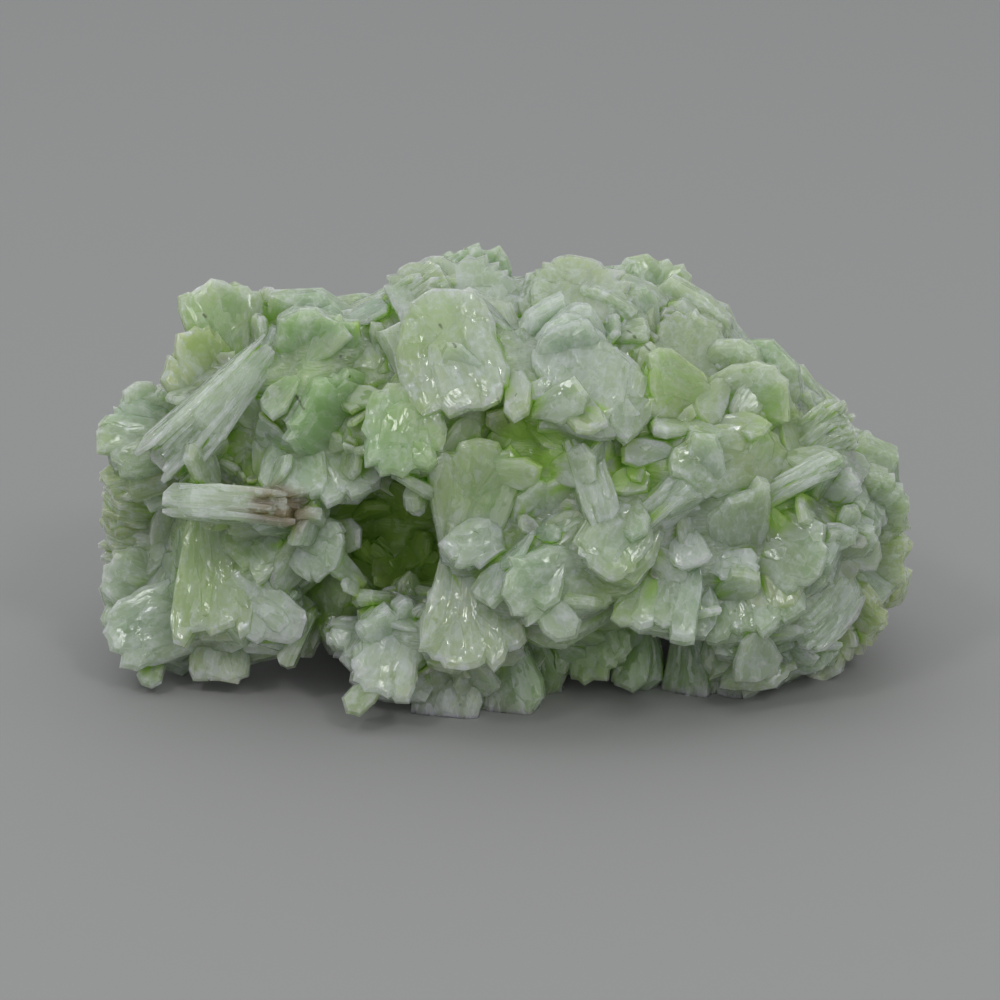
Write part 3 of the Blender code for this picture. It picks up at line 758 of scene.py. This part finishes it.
def add_crust(obj):
    """Breaks the surface up into small crystal faces."""
    cells = bpy.data.textures.new("small crystal faces", "VORONOI")
    cells.noise_scale = CRUST_GRAIN
    cells.distance_metric = "DISTANCE"
    cells.weight_1 = 1
    crust = obj.modifiers.new("crust", "DISPLACE")
    crust.texture = cells
    crust.texture_coords = "LOCAL"
    crust.mid_level = 0.5
    crust.strength = -CRUST_RELIEF


def matrix_stone():
    """The plain solid with its narrow gaps closed, a little below its surface, with a crust of its own."""
    bm = bmesh.new()
    bm.from_mesh(cad_mesh)
    bmesh.ops.remove_doubles(bm, verts=bm.verts, dist=SAME_CORNER)
    bmesh.ops.scale(bm, vec=Vector((1, 1, 1)) / MM, verts=bm.verts)
    bmesh.ops.translate(bm, vec=-CENTRING, verts=bm.verts)
    plain = mesh_object("matrix", bm, growing)
    add_remesh(plain)
    add_offset(plain, GAP)
    add_remesh(plain)
    add_offset(plain, -GAP - BELOW)
    add_remesh(plain)
    add_crust(plain)
    add_remesh(plain)
    bpy.context.view_layer.update()
    graph = bpy.context.evaluated_depsgraph_get()
    mesh = bpy.data.meshes.new_from_object(plain.evaluated_get(graph))
    bpy.data.objects.remove(plain)
    return mesh


matrix = bmesh.new()
matrix.from_mesh(matrix_stone())
matrix.verts.layers.float.new("rim")
mark_faces(matrix, CRUST_NATURE, lambda vert: vert.co)
in_gaps, on_matrix = [], []
for vert in matrix.verts:
    on_matrix.append((vert.co.copy(), vert.normal.copy()))
    nearest, normal, _, gap = cad_surface.find_nearest(vert.co)
    if (vert.co - nearest).dot(normal) > PROUD:
        in_gaps.append((vert.co.copy(), vert.normal.copy()))
print("the stone between the crystals:", len(matrix.faces), "faces,", len(in_gaps), "corners in gaps")
mesh_object("matrix", matrix, growing)

# %% One small crystal
SMALL_SEED = 77
SMALL_SIDES = 9
SMALL_ROLL = 25
SMALL_WIDTHS = (0.6, 1.0)
SMALL_THICKNESSES = (0.16, 0.3)
ROOTED = 0.22
FLOOR_MARGIN = 0.35
small_rng = random.Random(SMALL_SEED)
half_box = [high / MM for high in cad_box[1]]


def small_crystal(place, outward, length, lean, rng):
    """One small tablet that is rooted at this place, or none where it wouldn't fit."""
    sideways = outward.cross(Vector(rng.uniform(-1, 1) for _ in range(3))).normalized()
    growth = (sideways * lean + outward * (1 - lean)).normalized()
    roll = rng.uniform(-SMALL_ROLL, SMALL_ROLL)
    size = (length, length * rng.uniform(*SMALL_WIDTHS), length * rng.uniform(*SMALL_THICKNESSES))
    centre = place + growth * length * ROOTED
    nature = nature_of("small", rng)
    crystal = ("small", centre, turned(growth, outward, roll), roll, size, FAN, nature)
    bm = blade_mesh(crystal, ((0, 0, 0), size, SMALL_SIDES, THIN_RINGS), rng)
    too_low = min(vert.co.z for vert in bm.verts) < FLOOR_MARGIN
    too_far = any(abs(c) > most for vert in bm.verts for c, most in zip(vert.co + CENTRING, half_box))
    if too_low or too_far or max(skyline_excess(vert.co) for vert in bm.verts) > 0:
        bm.free()
        return 0
    mesh_object("small", bm, growing)
    return 1


# %% Small crystals like scales, wherever no blade covers the stone
BARE = 0.3
SCALE_SPACING = 2.45
SCALE_LENGTHS = (3.4, 5.4)
SCALE_LEANS = (0.72, 0.92)
# The green groove below the centre tablet stays open: across and up, and its reach
GROOVE = Vector((2.4, 20.3))
GROOVE_REACH = 2.2


def blade_surface(collection):
    """The surface of all blades that have grown so far."""
    points, faces = [], []
    for obj in collection.objects:
        if obj.name.split(".")[0] not in ("heart", "matrix"):
            start = len(points)
            points += [vert.co.copy() for vert in obj.data.vertices]
            faces += [tuple(start + index for index in face.vertices) for face in obj.data.polygons]
    return BVHTree.FromPolygons(points, faces)


def in_groove(place):
    """Whether a point is seen in the groove."""
    return (Vector(in_view(place)) - GROOVE).length < GROOVE_REACH


grown_blades = blade_surface(growing)
bare = []
for place, outward in on_matrix:
    nearest, normal, _, gap = grown_blades.find_nearest(place)
    is_bare = gap > BARE and (place - nearest).dot(normal) > 0
    if is_bare and not (outward.y < 0 and in_groove(place)):
        bare.append((place, outward))
small_rng.shuffle(bare)
scales, planted = [], 0
for place, outward in bare:
    if all((place - other).length > SCALE_SPACING for other in scales):
        scales.append(place)
        length, lean = small_rng.uniform(*SCALE_LENGTHS), small_rng.uniform(*SCALE_LEANS)
        planted += small_crystal(place, outward, length, lean, small_rng)
print(planted, "scales on", len(bare), "bare corners")

# %% Small crystals in the gaps
GAP_CRYSTALS = 60
FRONT_CRYSTALS = 200
GAP_LENGTHS = (1.6, 2.4, 3.2, 4.2)
GAP_LEANS = (0.6, 0.95)
TOWARD_VIEW = 0.1

planted = 0
in_front = [spot for spot in in_gaps if spot[1].dot(TOWARD) > TOWARD_VIEW and not in_groove(spot[0])]
for index in range(GAP_CRYSTALS + FRONT_CRYSTALS):
    place, outward = small_rng.choice(in_gaps if index < GAP_CRYSTALS else in_front)
    length = small_rng.choice(GAP_LENGTHS) * small_rng.uniform(0.85, 1.15)
    planted += small_crystal(place, outward, length, small_rng.uniform(*GAP_LEANS), small_rng)
print(planted, "small crystals in gaps")

# %% [markdown]
# ## One solid
#
# All blades are now joined in one closed mesh. The Manifold solver takes the whole collection at once in
# a few seconds, and it carries the grain, the nature and the rim over to the joined mesh. It needs each
# blade to be a closed mesh that doesn't cross itself, and that is why every blade was kept apart so far.
#
# %% Join the blades
def joined(collection):
    """The union of the collection's meshes, as a new mesh."""
    first, *others = list(collection.objects)
    rest = bpy.data.collections.new("others")
    for obj in others:
        rest.objects.link(obj)
    union = first.modifiers.new("union", "BOOLEAN")
    union.operation = "UNION"
    union.operand_type = "COLLECTION"
    union.collection = rest
    union.solver = "MANIFOLD"
    bpy.context.view_layer.update()
    graph = bpy.context.evaluated_depsgraph_get()
    mesh = bpy.data.meshes.new_from_object(first.evaluated_get(graph))
    used = [obj.data for obj in collection.objects]
    for obj in [first, *others]:
        bpy.data.objects.remove(obj)
    bpy.data.batch_remove(used)
    bpy.data.collections.remove(rest)
    bpy.data.collections.remove(collection)
    return mesh


mesh = joined(growing)
print("joined:", len(mesh.vertices), "corners,", len(mesh.polygons), "faces")


# %% Keep the lump alone, and cut its feet flat
def islands(bm):
    """The connected groups of faces."""
    left = set(bm.faces)
    while left:
        group, waiting = [], [left.pop()]
        while waiting:
            face = waiting.pop()
            group.append(face)
            for edge in face.edges:
                for other in edge.link_faces:
                    if other in left:
                        left.remove(other)
                        waiting.append(other)
        yield group


bm = bmesh.new()
bm.from_mesh(mesh)
everything = bm.verts[:] + bm.edges[:] + bm.faces[:]
cut = bmesh.ops.bisect_plane(
    bm, geom=everything, plane_co=(0, 0, 0), plane_no=(0, 0, -1), clear_outer=True
)
rims = [edge for edge in cut["geom_cut"] if isinstance(edge, bmesh.types.BMEdge)]
bmesh.ops.holes_fill(bm, edges=rims, sides=0)
groups = sorted(islands(bm), key=len)
loose = [face for group in groups[:-1] for face in group]
print(len(groups) - 1, "voids and loose chips removed, with", len(loose), "faces")
bmesh.ops.delete(bm, geom=loose, context="FACES")
bmesh.ops.triangulate(bm, faces=bm.faces)

# Slivers can leave two faces back to back on the same three corners, which enclose nothing
facing, back_to_back = {}, []
for face in bm.faces:
    corners = frozenset(face.verts)
    if corners in facing:
        back_to_back += [face, facing.pop(corners)]
    else:
        facing[corners] = face
bmesh.ops.delete(bm, geom=back_to_back, context="FACES")
open_edges = sum(edge.is_boundary for edge in bm.edges)
print(len(back_to_back), "faces back to back removed, and", open_edges, "open edges")
bmesh.ops.translate(bm, vec=CENTRING, verts=bm.verts)

# %% Ease the few tips that reach past the plain solid's box back into it
EASE = 2.0
INSIDE = 0.02
FLOOR_SIDE = (2, -1)

for axis in range(3):
    for side, corner in ((-1, cad_box[0]), (1, cad_box[1])):
        limit = side * corner[axis] / MM - INSIDE
        reach = max(side * vert.co[axis] for vert in bm.verts)
        if reach > limit and (axis, side) != FLOOR_SIDE:
            start = limit - EASE
            squeeze = EASE / (reach - start)
            for vert in bm.verts:
                beyond = side * vert.co[axis] - start
                if beyond > 0:
                    vert.co[axis] = side * (start + beyond * squeeze)
            print("tips eased along", "XYZ"[axis], "by up to", round(reach - limit, 2), "mm")

# %% [markdown]
# ## How sheltered each place is
#
# Light that enters a hollow has passed through a lot of stone, so deep places turn a strong yellow green,
# and open ones stay pale; here that green is painted shade in the stone's colour. Rays sent out from every
# corner of the mesh say how much stone lies close by.
# That share becomes a value of the mesh, which the material turns into colour. A few places that differ
# are named: hollows and clearer stone, whitish frost, and the brown stain at a bar's end.
#
# %% Shelter by rays
SHELTER_RAYS = 22
SHELTER_REACH = 9.0
SHELTER_LIFT = 0.15
LEAST_SLANT = 0.1
FAR_SHARE = 0.6
# How much shelter gives painted shade, everywhere and in the named hollows
PAINTED_SHADE_SHELTER = (0.5, 0.9)
HOLLOW_SHADE_SHELTER = (0.2, 0.5)
directions = list(even_directions(SHELTER_RAYS))

surface = BVHTree.FromBMesh(bm)
bm.normal_update()


def shelter_at(vert):
    """How much stone lies close in front of this corner, from 0 to 1."""
    start = vert.co + vert.normal * SHELTER_LIFT
    closeness, count = 0, 0
    for ray in directions:
        if ray.dot(vert.normal) > LEAST_SLANT:
            count += 1
            gap = surface.ray_cast(start, ray, SHELTER_REACH)[3]
            if gap is not None:
                closeness += 1 - gap / SHELTER_REACH * FAR_SHARE
    return closeness / max(count, 1)


# %% Places that differ: hollows with painted green shade, clearer stone, frosted patches and a brown stain
# Each is how far across and up it is seen, as in the list of crystals, and its reach in millimetres
# Hollows, where sheltered stone takes more painted shade
HOLLOWS = (
    ((-8.8, 14.8), 6.5), ((-7.3, 11.8), 5.0), ((-11.5, 9.6), 4.0), ((1.3, 23.8), 3.4),
    ((2.4, 20.8), 4.0), ((3.5, 18.8), 3.0), ((10.3, 18.8), 2.4), ((8.2, 18.6), 2.0),
    ((20.4, 15.4), 2.2), ((22.3, 17.1), 2.0), ((0.1, 27.6), 2.0), ((11.8, 25.0), 2.6),
    ((19.3, 22.3), 2.4),
)
CLEARER = (
    ((-7.3, 21.2), 5.0), ((-13.0, 25.0), 8.0), ((-1.3, 18.6), 5.5), ((-13.7, 8.8), 5.0),
    ((-21.6, 29.1), 4.0), ((-22.7, 11.8), 6.0), ((7.3, 5.1), 9.0), ((13.3, 24.6), 5.0),
    ((20.4, 22.0), 4.0), ((9.2, 10.0), 4.0), ((-5.5, 29.1), 4.0),
)
CLEARER_SHARE = 0.32
FROSTED = (
    ((14.0, 12.8), 2.2), ((17.4, 11.6), 1.8), ((25.3, 17.5), 2.4), ((1.6, 31.9), 1.8),
    ((15.9, 18.6), 1.6), ((5.4, 11.8), 1.6), ((-18.2, 9.6), 2.2), ((-28.7, 22.3), 1.8),
    ((-9.6, 7.3), 2.6), ((-15.2, 8.1), 1.6), ((11.8, 16.3), 1.8), ((4.3, 28.3), 2.0),
    ((20.8, 26.1), 1.8), ((28.3, 18.6), 2.2),
)
STAINED = (((-17.9, 15.8), 1.8), ((-16.9, 16.0), 2.2), ((-16.0, 15.6), 2.2))
FRONT_HALF = 6.0
FADING = 0.6


def stone_at(across, up):
    """The point of the lump that is seen this far across and up."""
    return surface.ray_cast(EYE + CENTRING, sight(across, up).normalized())[0]


def smooth(value, low, high):
    """0 below the low value, 1 above the high one and an even curve between them."""
    share = min(max((value - low) / (high - low), 0), 1)
    return share * share * (3 - 2 * share)


def nearness(point, places):
    """1 at the middle of one of these places, and 0 beyond its reach."""
    return max(smooth(1 - (point - middle).length / reach, 0, FADING) for middle, reach in places)


hollows, clearer, frosted, stained = (
    [(stone_at(*place), reach) for place, reach in rows]
    for rows in (HOLLOWS, CLEARER, FROSTED, STAINED)
)
shade_and_clear_layer, frosted_layer, stain_layer = (
    bm.verts.layers.float.new(name) for name in ("deep", "frosted", "stain")
)
# Painted shade: sheltered corners, and more so those in the named hollows, take the strong yellow green;
# clearer stone takes a share of it too
for vert in bm.verts:
    shelter = shelter_at(vert)
    vert[shade_and_clear_layer] = smooth(shelter, *PAINTED_SHADE_SHELTER)
    if vert.co.y < FRONT_HALF:
        hollow_shade = nearness(vert.co, hollows) * smooth(shelter, *HOLLOW_SHADE_SHELTER)
        green = nearness(vert.co, clearer) * CLEARER_SHARE
        vert[shade_and_clear_layer] = max(vert[shade_and_clear_layer], hollow_shade, green)
        vert[frosted_layer] = nearness(vert.co, frosted)
        vert[stain_layer] = nearness(vert.co, stained)
print("deep corners:", sum(vert[shade_and_clear_layer] > 0.5 for vert in bm.verts), "of", len(bm.verts))

# %% The finished mesh
SHARP_ANGLE = math.radians(20)

bmesh.ops.scale(bm, vec=(MM, MM, MM), verts=bm.verts)
bm.to_mesh(mesh)
bm.free()
mesh.name = "prehnite_crystals"
if "sharp_face" in mesh.attributes:
    mesh.attributes.remove(mesh.attributes["sharp_face"])
mesh.shade_smooth()
mesh.set_sharp_from_angle(angle=SHARP_ANGLE)
lump = bpy.data.objects.new("prehnite_crystals", mesh)
bpy.context.scene.collection.objects.link(lump)
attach(lump, "root")
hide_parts(NODE)
triangles = sum(len(face.vertices) - 2 for face in mesh.polygons)
print("lump:", len(mesh.vertices), "corners,", triangles, "triangles")

# %% [markdown]
# ## The stone
#
# Prehnite is waxy and lets light in for a few millimetres, which softens every shadow on it. Subsurface
# scattering does that, with green light going furthest. The colour starts from a pale green, takes a
# painted shade of strong yellow green where the lump is sheltered, and whitens at rims and where tiny
# fractures frost it.
# Each blade is itself a mosaic of intergrown crystals, and every one of those faces a little its own way,
# which gives the glints. Fine lines run along each blade, and they show best on its edges.
#
# %% Small helpers for nodes
material = bpy.data.materials.new("prehnite")
material.use_nodes = True
tree = material.node_tree
shader = tree.nodes["Principled BSDF"]


def put(value, socket):
    """Feeds a socket from another one, or sets it to a plain value."""
    if isinstance(value, bpy.types.NodeSocket):
        tree.links.new(value, socket)
    else:
        socket.default_value = value


def own_value(name, output="Fac"):
    """A value that the mesh carries at its corners."""
    made = tree.nodes.new("ShaderNodeAttribute")
    made.attribute_name = name
    return made.outputs[output]


def parts_of(vector):
    """The three parts of a vector."""
    made = tree.nodes.new("ShaderNodeSeparateXYZ")
    put(vector, made.inputs[0])
    return made.outputs


def maths(operation, *entries):
    """One step of arithmetic on sockets or numbers."""
    made = tree.nodes.new("ShaderNodeMath")
    made.operation = operation
    for entry, socket in zip(entries, made.inputs):
        put(entry, socket)
    return made.outputs[0]


def vector_maths(operation, *entries, output="Vector", scale=None):
    """One step of arithmetic on vectors."""
    made = tree.nodes.new("ShaderNodeVectorMath")
    made.operation = operation
    for entry, socket in zip(entries, made.inputs):
        put(entry, socket)
    if scale is not None:
        put(scale, made.inputs["Scale"])
    return made.outputs[output]


def mapped(value, low, high, out_low=0.0, out_high=1.0):
    """A value taken smoothly from one range to another."""
    made = tree.nodes.new("ShaderNodeMapRange")
    made.interpolation_type = "SMOOTHSTEP"
    for entry, socket in zip((value, low, high, out_low, out_high), made.inputs):
        put(entry, socket)
    return made.outputs[0]


def mixed(share, first, second):
    """A mix of two colours, each a socket or a plain colour."""
    made = tree.nodes.new("ShaderNodeMix")
    made.data_type = "RGBA"
    put(share, made.inputs[0])
    for entry, socket in zip((first, second), made.inputs[6:8]):
        put((*entry, 1) if isinstance(entry, tuple) else entry, socket)
    return made.outputs[2]


def stretched(vector, scale):
    """A vector with each part scaled by its own share."""
    made = tree.nodes.new("ShaderNodeMapping")
    put(vector, made.inputs["Vector"])
    put(scale, made.inputs["Scale"])
    return made.outputs[0]


def noise(vector, scale, detail=3.0, output="Fac"):
    """Soft noise on a vector."""
    made = tree.nodes.new("ShaderNodeTexNoise")
    put(vector, made.inputs["Vector"])
    put(scale, made.inputs["Scale"])
    put(detail, made.inputs["Detail"])
    return made.outputs[output]


def cells(vector, output, feature="F1"):
    """Cells round scattered points, about one to a unit."""
    made = tree.nodes.new("ShaderNodeTexVoronoi")
    made.feature = feature
    put(vector, made.inputs["Vector"])
    put(1.0, made.inputs["Scale"])
    return made.outputs[output]


# %% The stone's greens, with the painted shade green of its hollows
CLEAR = 0.06
BODY = (0.27, 0.35, 0.195)
BLUISH = (0.22, 0.325, 0.22)
YELLOWISH = (0.34, 0.39, 0.12)
# Painted shade: the strong yellow green that sheltered places and hollows take; clearer stone takes a
# share of it too
SHADE_AND_CLEAR_GREEN = (0.29, 0.49, 0.07)
PATCH_SCALE = 120

place = tree.nodes.new("ShaderNodeTexCoord").outputs["Object"]
grain = own_value("grain", "Vector")
frost_share, yellow_share, sparkle_share = parts_of(own_value("nature", "Vector"))
# How much painted shade green each place takes: shelter and hollows, clearer stone, and a small share
# everywhere
shade_and_clear_share = maths("ADD", own_value("deep"), CLEAR)

colour = mixed(mapped(noise(place, PATCH_SCALE), 0.38, 0.66), BODY, BLUISH)
colour = mixed(yellow_share, colour, YELLOWISH)
colour = mixed(shade_and_clear_share, colour, SHADE_AND_CLEAR_GREEN)

# %% The mosaic of small crystals that are intergrown within a blade
RAGGED_SCALE = 1.1
RAGGED_BY = (1.2, 1.2, 1.2)
MOSAIC_STRETCH = (1.0, 0.45, 1.6)
SEAM_WIDTH = 0.12

ragged_grain = vector_maths("MULTIPLY_ADD", noise(grain, RAGGED_SCALE, 2, "Color"), RAGGED_BY, grain)
mosaic = stretched(ragged_grain, MOSAIC_STRETCH)
piece_turn = cells(mosaic, "Color")
tone = mapped(parts_of(piece_turn)[0], 0.1, 0.9)
seam = mapped(cells(mosaic, "Distance", "DISTANCE_TO_EDGE"), 0.0, SEAM_WIDTH, 1.0, 0.0)

# %% The whitish frost
WHITE = (0.48, 0.54, 0.48)
CLOUD_SCALE = 0.55
SPECK_SCALE = 1400
VEIL_SCALE = 1.4
VEIL_STRETCH = (1.0, 0.3, 4.0)

clouds = mapped(noise(grain, CLOUD_SCALE), 0.45, 0.75)
specks = mapped(noise(place, SPECK_SCALE), 0.48, 0.8)
veils = mapped(noise(stretched(grain, VEIL_STRETCH), VEIL_SCALE), 0.5, 0.8)
frost = maths("MULTIPLY", own_value("rim"), mapped(specks, 0, 1, 0.12, 0.6))
# Each cause of whiteness, with its share
whitened_by = (
    (clouds, 0.3), (specks, 0.4), (veils, 0.4), (tone, 0.22), (seam, 0.18), (frost_share, 0.8),
)
for cause, share in whitened_by:
    frost = maths("MULTIPLY_ADD", cause, share, frost)
patch = maths("MULTIPLY", own_value("frosted"), mapped(specks, 0.0, 0.5, 0.35, 1.0))
# The frost fades where the painted shade green is strong
open_share = mapped(shade_and_clear_share, 0.0, 0.8, 1.0, 0.1)
frost = maths("MULTIPLY", maths("MAXIMUM", frost, patch), open_share)
colour = mixed(frost, colour, WHITE)

# %% The brown stain and the dark needles
STAIN = (0.21, 0.17, 0.10)
NEEDLE = (0.07, 0.07, 0.03)
NEEDLE_SHARE = 0.7
NEEDLE_HALF = 0.00005
# The ends of each needle, as far across and up as they are seen
NEEDLES = (
    ((-12.15, 27.15), (-11.47, 25.65)),
    ((-15.45, 24.15), (-14.92, 23.25)),
    ((-4.72, 29.55), (-3.52, 27.9)),
    ((-0.38, 24.0), (0.45, 22.2)),
    ((9.38, 29.1), (11.03, 27.6)),
    ((-22.43, 30.3), (-22.27, 30.15)),
)


def along_line(start, end):
    """A mask for a thin line between two points."""
    run = end - start
    from_start = vector_maths("SUBTRACT", place, start)
    share = tree.nodes.new("ShaderNodeClamp")
    put(vector_maths("DOT_PRODUCT", from_start, run / run.length_squared, output="Value"), share.inputs[0])
    foot = vector_maths("SCALE", run, scale=share.outputs[0])
    gap = vector_maths("DISTANCE", from_start, foot, output="Value")
    return mapped(gap, NEEDLE_HALF, NEEDLE_HALF * 3, 1.0, 0.0)


stain = maths("MULTIPLY", own_value("stain"), mapped(specks, 0.0, 0.6, 0.95, 0.5))
colour = mixed(stain, colour, STAIN)
for start, end in NEEDLES:
    line = along_line(stone_at(*start) * MM, stone_at(*end) * MM)
    colour = mixed(maths("MULTIPLY", line, NEEDLE_SHARE), colour, NEEDLE)
put(colour, shader.inputs["Base Color"])

# %% The turned faces, the fine lines and the gloss
SPARKLE_TURN = 1.1
PLAIN_TURN = (0.5, 0.5, 0.5)
MIDDLE = (0.5, 0.5, 0.5)
SPARKLE_SCALE = 300
SLIVER_STRETCH = (3.0, 0.7, 5.0)
STREAK_STRETCH = (0.9, 0.25, 7.0)
LINE_STRENGTH = 0.5
LINE_HEIGHT = 0.00025
ROUGHNESS = (0.2, 0.4)
SPARKLE_GLOSS = 0.25
REFRACTION = 1.63
LIGHT_REACH = (0.85, 1.0, 0.65)
LIGHT_DEPTH = 0.005

glinting = mapped(noise(place, SPARKLE_SCALE, 2), 0.45, 0.62)
sparkle = maths("MULTIPLY", sparkle_share, glinting)
sliver_turn = vector_maths("SUBTRACT", cells(stretched(grain, SLIVER_STRETCH), "Color"), MIDDLE)
sliver_turn = vector_maths("SCALE", sliver_turn, scale=maths("MULTIPLY", sparkle, SPARKLE_TURN))
piece_turn = vector_maths("SUBTRACT", piece_turn, MIDDLE)
turn_by = vector_maths("MULTIPLY_ADD", piece_turn, PLAIN_TURN, sliver_turn)
surface_normal = tree.nodes.new("ShaderNodeNewGeometry").outputs["Normal"]
bump = tree.nodes.new("ShaderNodeBump")
put(LINE_STRENGTH, bump.inputs["Strength"])
put(LINE_HEIGHT, bump.inputs["Distance"])
put(noise(stretched(grain, STREAK_STRETCH), 1.0), bump.inputs["Height"])
put(vector_maths("NORMALIZE", vector_maths("ADD", surface_normal, turn_by)), bump.inputs["Normal"])
put(bump.outputs[0], shader.inputs["Normal"])

roughness = mapped(clouds, 0.0, 1.0, *ROUGHNESS)
roughness = maths("SUBTRACT", roughness, maths("MULTIPLY", sparkle, SPARKLE_GLOSS))
put(roughness, shader.inputs["Roughness"])
shader.inputs["IOR"].default_value = REFRACTION
shader.inputs["Subsurface Weight"].default_value = 1.0
shader.inputs["Subsurface Radius"].default_value = LIGHT_REACH
shader.inputs["Subsurface Scale"].default_value = LIGHT_DEPTH
shader.inputs["Transmission Weight"].default_value = 0.0
lump.data.materials.clear()
lump.data.materials.append(material)
print("the stone's material has", len(tree.nodes), "nodes")

# %% [markdown]
# ## Floor and light
#
# The lump lies on a plain pale floor under soft studio light: one large lamp overhead, another from the
# front, and an even pale surround. Two small lamps give the glints on the blades' edges.
#
# %% The floor
FLOOR_HALF = 1.2
FLOOR_GREY = (0.32, 0.32, 0.315, 1)
FLOOR_ROUGHNESS = 0.75
floor_bm = bmesh.new()
bmesh.ops.create_grid(floor_bm, x_segments=1, y_segments=1, size=FLOOR_HALF)
floor = mesh_object("floor", floor_bm, bpy.context.scene.collection)
floor_material = bpy.data.materials.new("plain pale floor")
floor_material.use_nodes = True
floor_shader = floor_material.node_tree.nodes["Principled BSDF"]
floor_shader.inputs["Base Color"].default_value = FLOOR_GREY
floor_shader.inputs["Roughness"].default_value = FLOOR_ROUGHNESS
floor.data.materials.append(floor_material)
floor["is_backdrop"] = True


# %% The light
LAMP_AIM = Vector((0, 0, 0.012))
SURROUND = (0.95, 0.97, 1, 1)
SURROUND_STRENGTH = 0.54


def lamp(name, place, size, power):
    """A square soft light that points at the lump."""
    data = bpy.data.lights.new(name, "AREA")
    data.shape = "SQUARE"
    data.size = size
    data.energy = power
    obj = bpy.data.objects.new(name, data)
    obj.location = place
    obj.rotation_euler = (LAMP_AIM - Vector(place)).to_track_quat("-Z", "Y").to_euler()
    bpy.context.scene.collection.objects.link(obj)


lamp("overhead light", (-0.05, 0.05, 0.5), 0.6, 0.6)
lamp("front fill", (0.1, -0.6, 0.2), 0.7, 0.6)
lamp("glint light", (-0.25, -0.3, 0.45), 0.09, 0.4)
lamp("second glint light", (0.2, -0.35, 0.4), 0.09, 0.35)
world = bpy.data.worlds.new("surround")
world.use_nodes = True
background = world.node_tree.nodes["Background"]
background.inputs["Color"].default_value = SURROUND
background.inputs["Strength"].default_value = SURROUND_STRENGTH
bpy.context.scene.world = world
bpy.context.scene.view_settings.view_transform = "Standard"

# %% [markdown]
# ## Sizes and finish
#
# The dressed lump is eased into the plain solid's box, and how far it stands proud of each side is
# printed, with both boxes gathered at the end. The dressed lump has to stay inside the plain
# solid's box.
#
# %% Print how far the lump stands proud, and gather both boxes
visual_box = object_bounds()
for axis, low, high, cad_low, cad_high in zip("XYZ", *visual_box, *cad_box):
    print(axis, "proud by", round((cad_low - low) / MM, 2), "and", round((high - cad_high) / MM, 2), "mm")
boxes = {"cad": cad_box, "visual": visual_box}
{name: [list(corner) for corner in box] for name, box in boxes.items()}
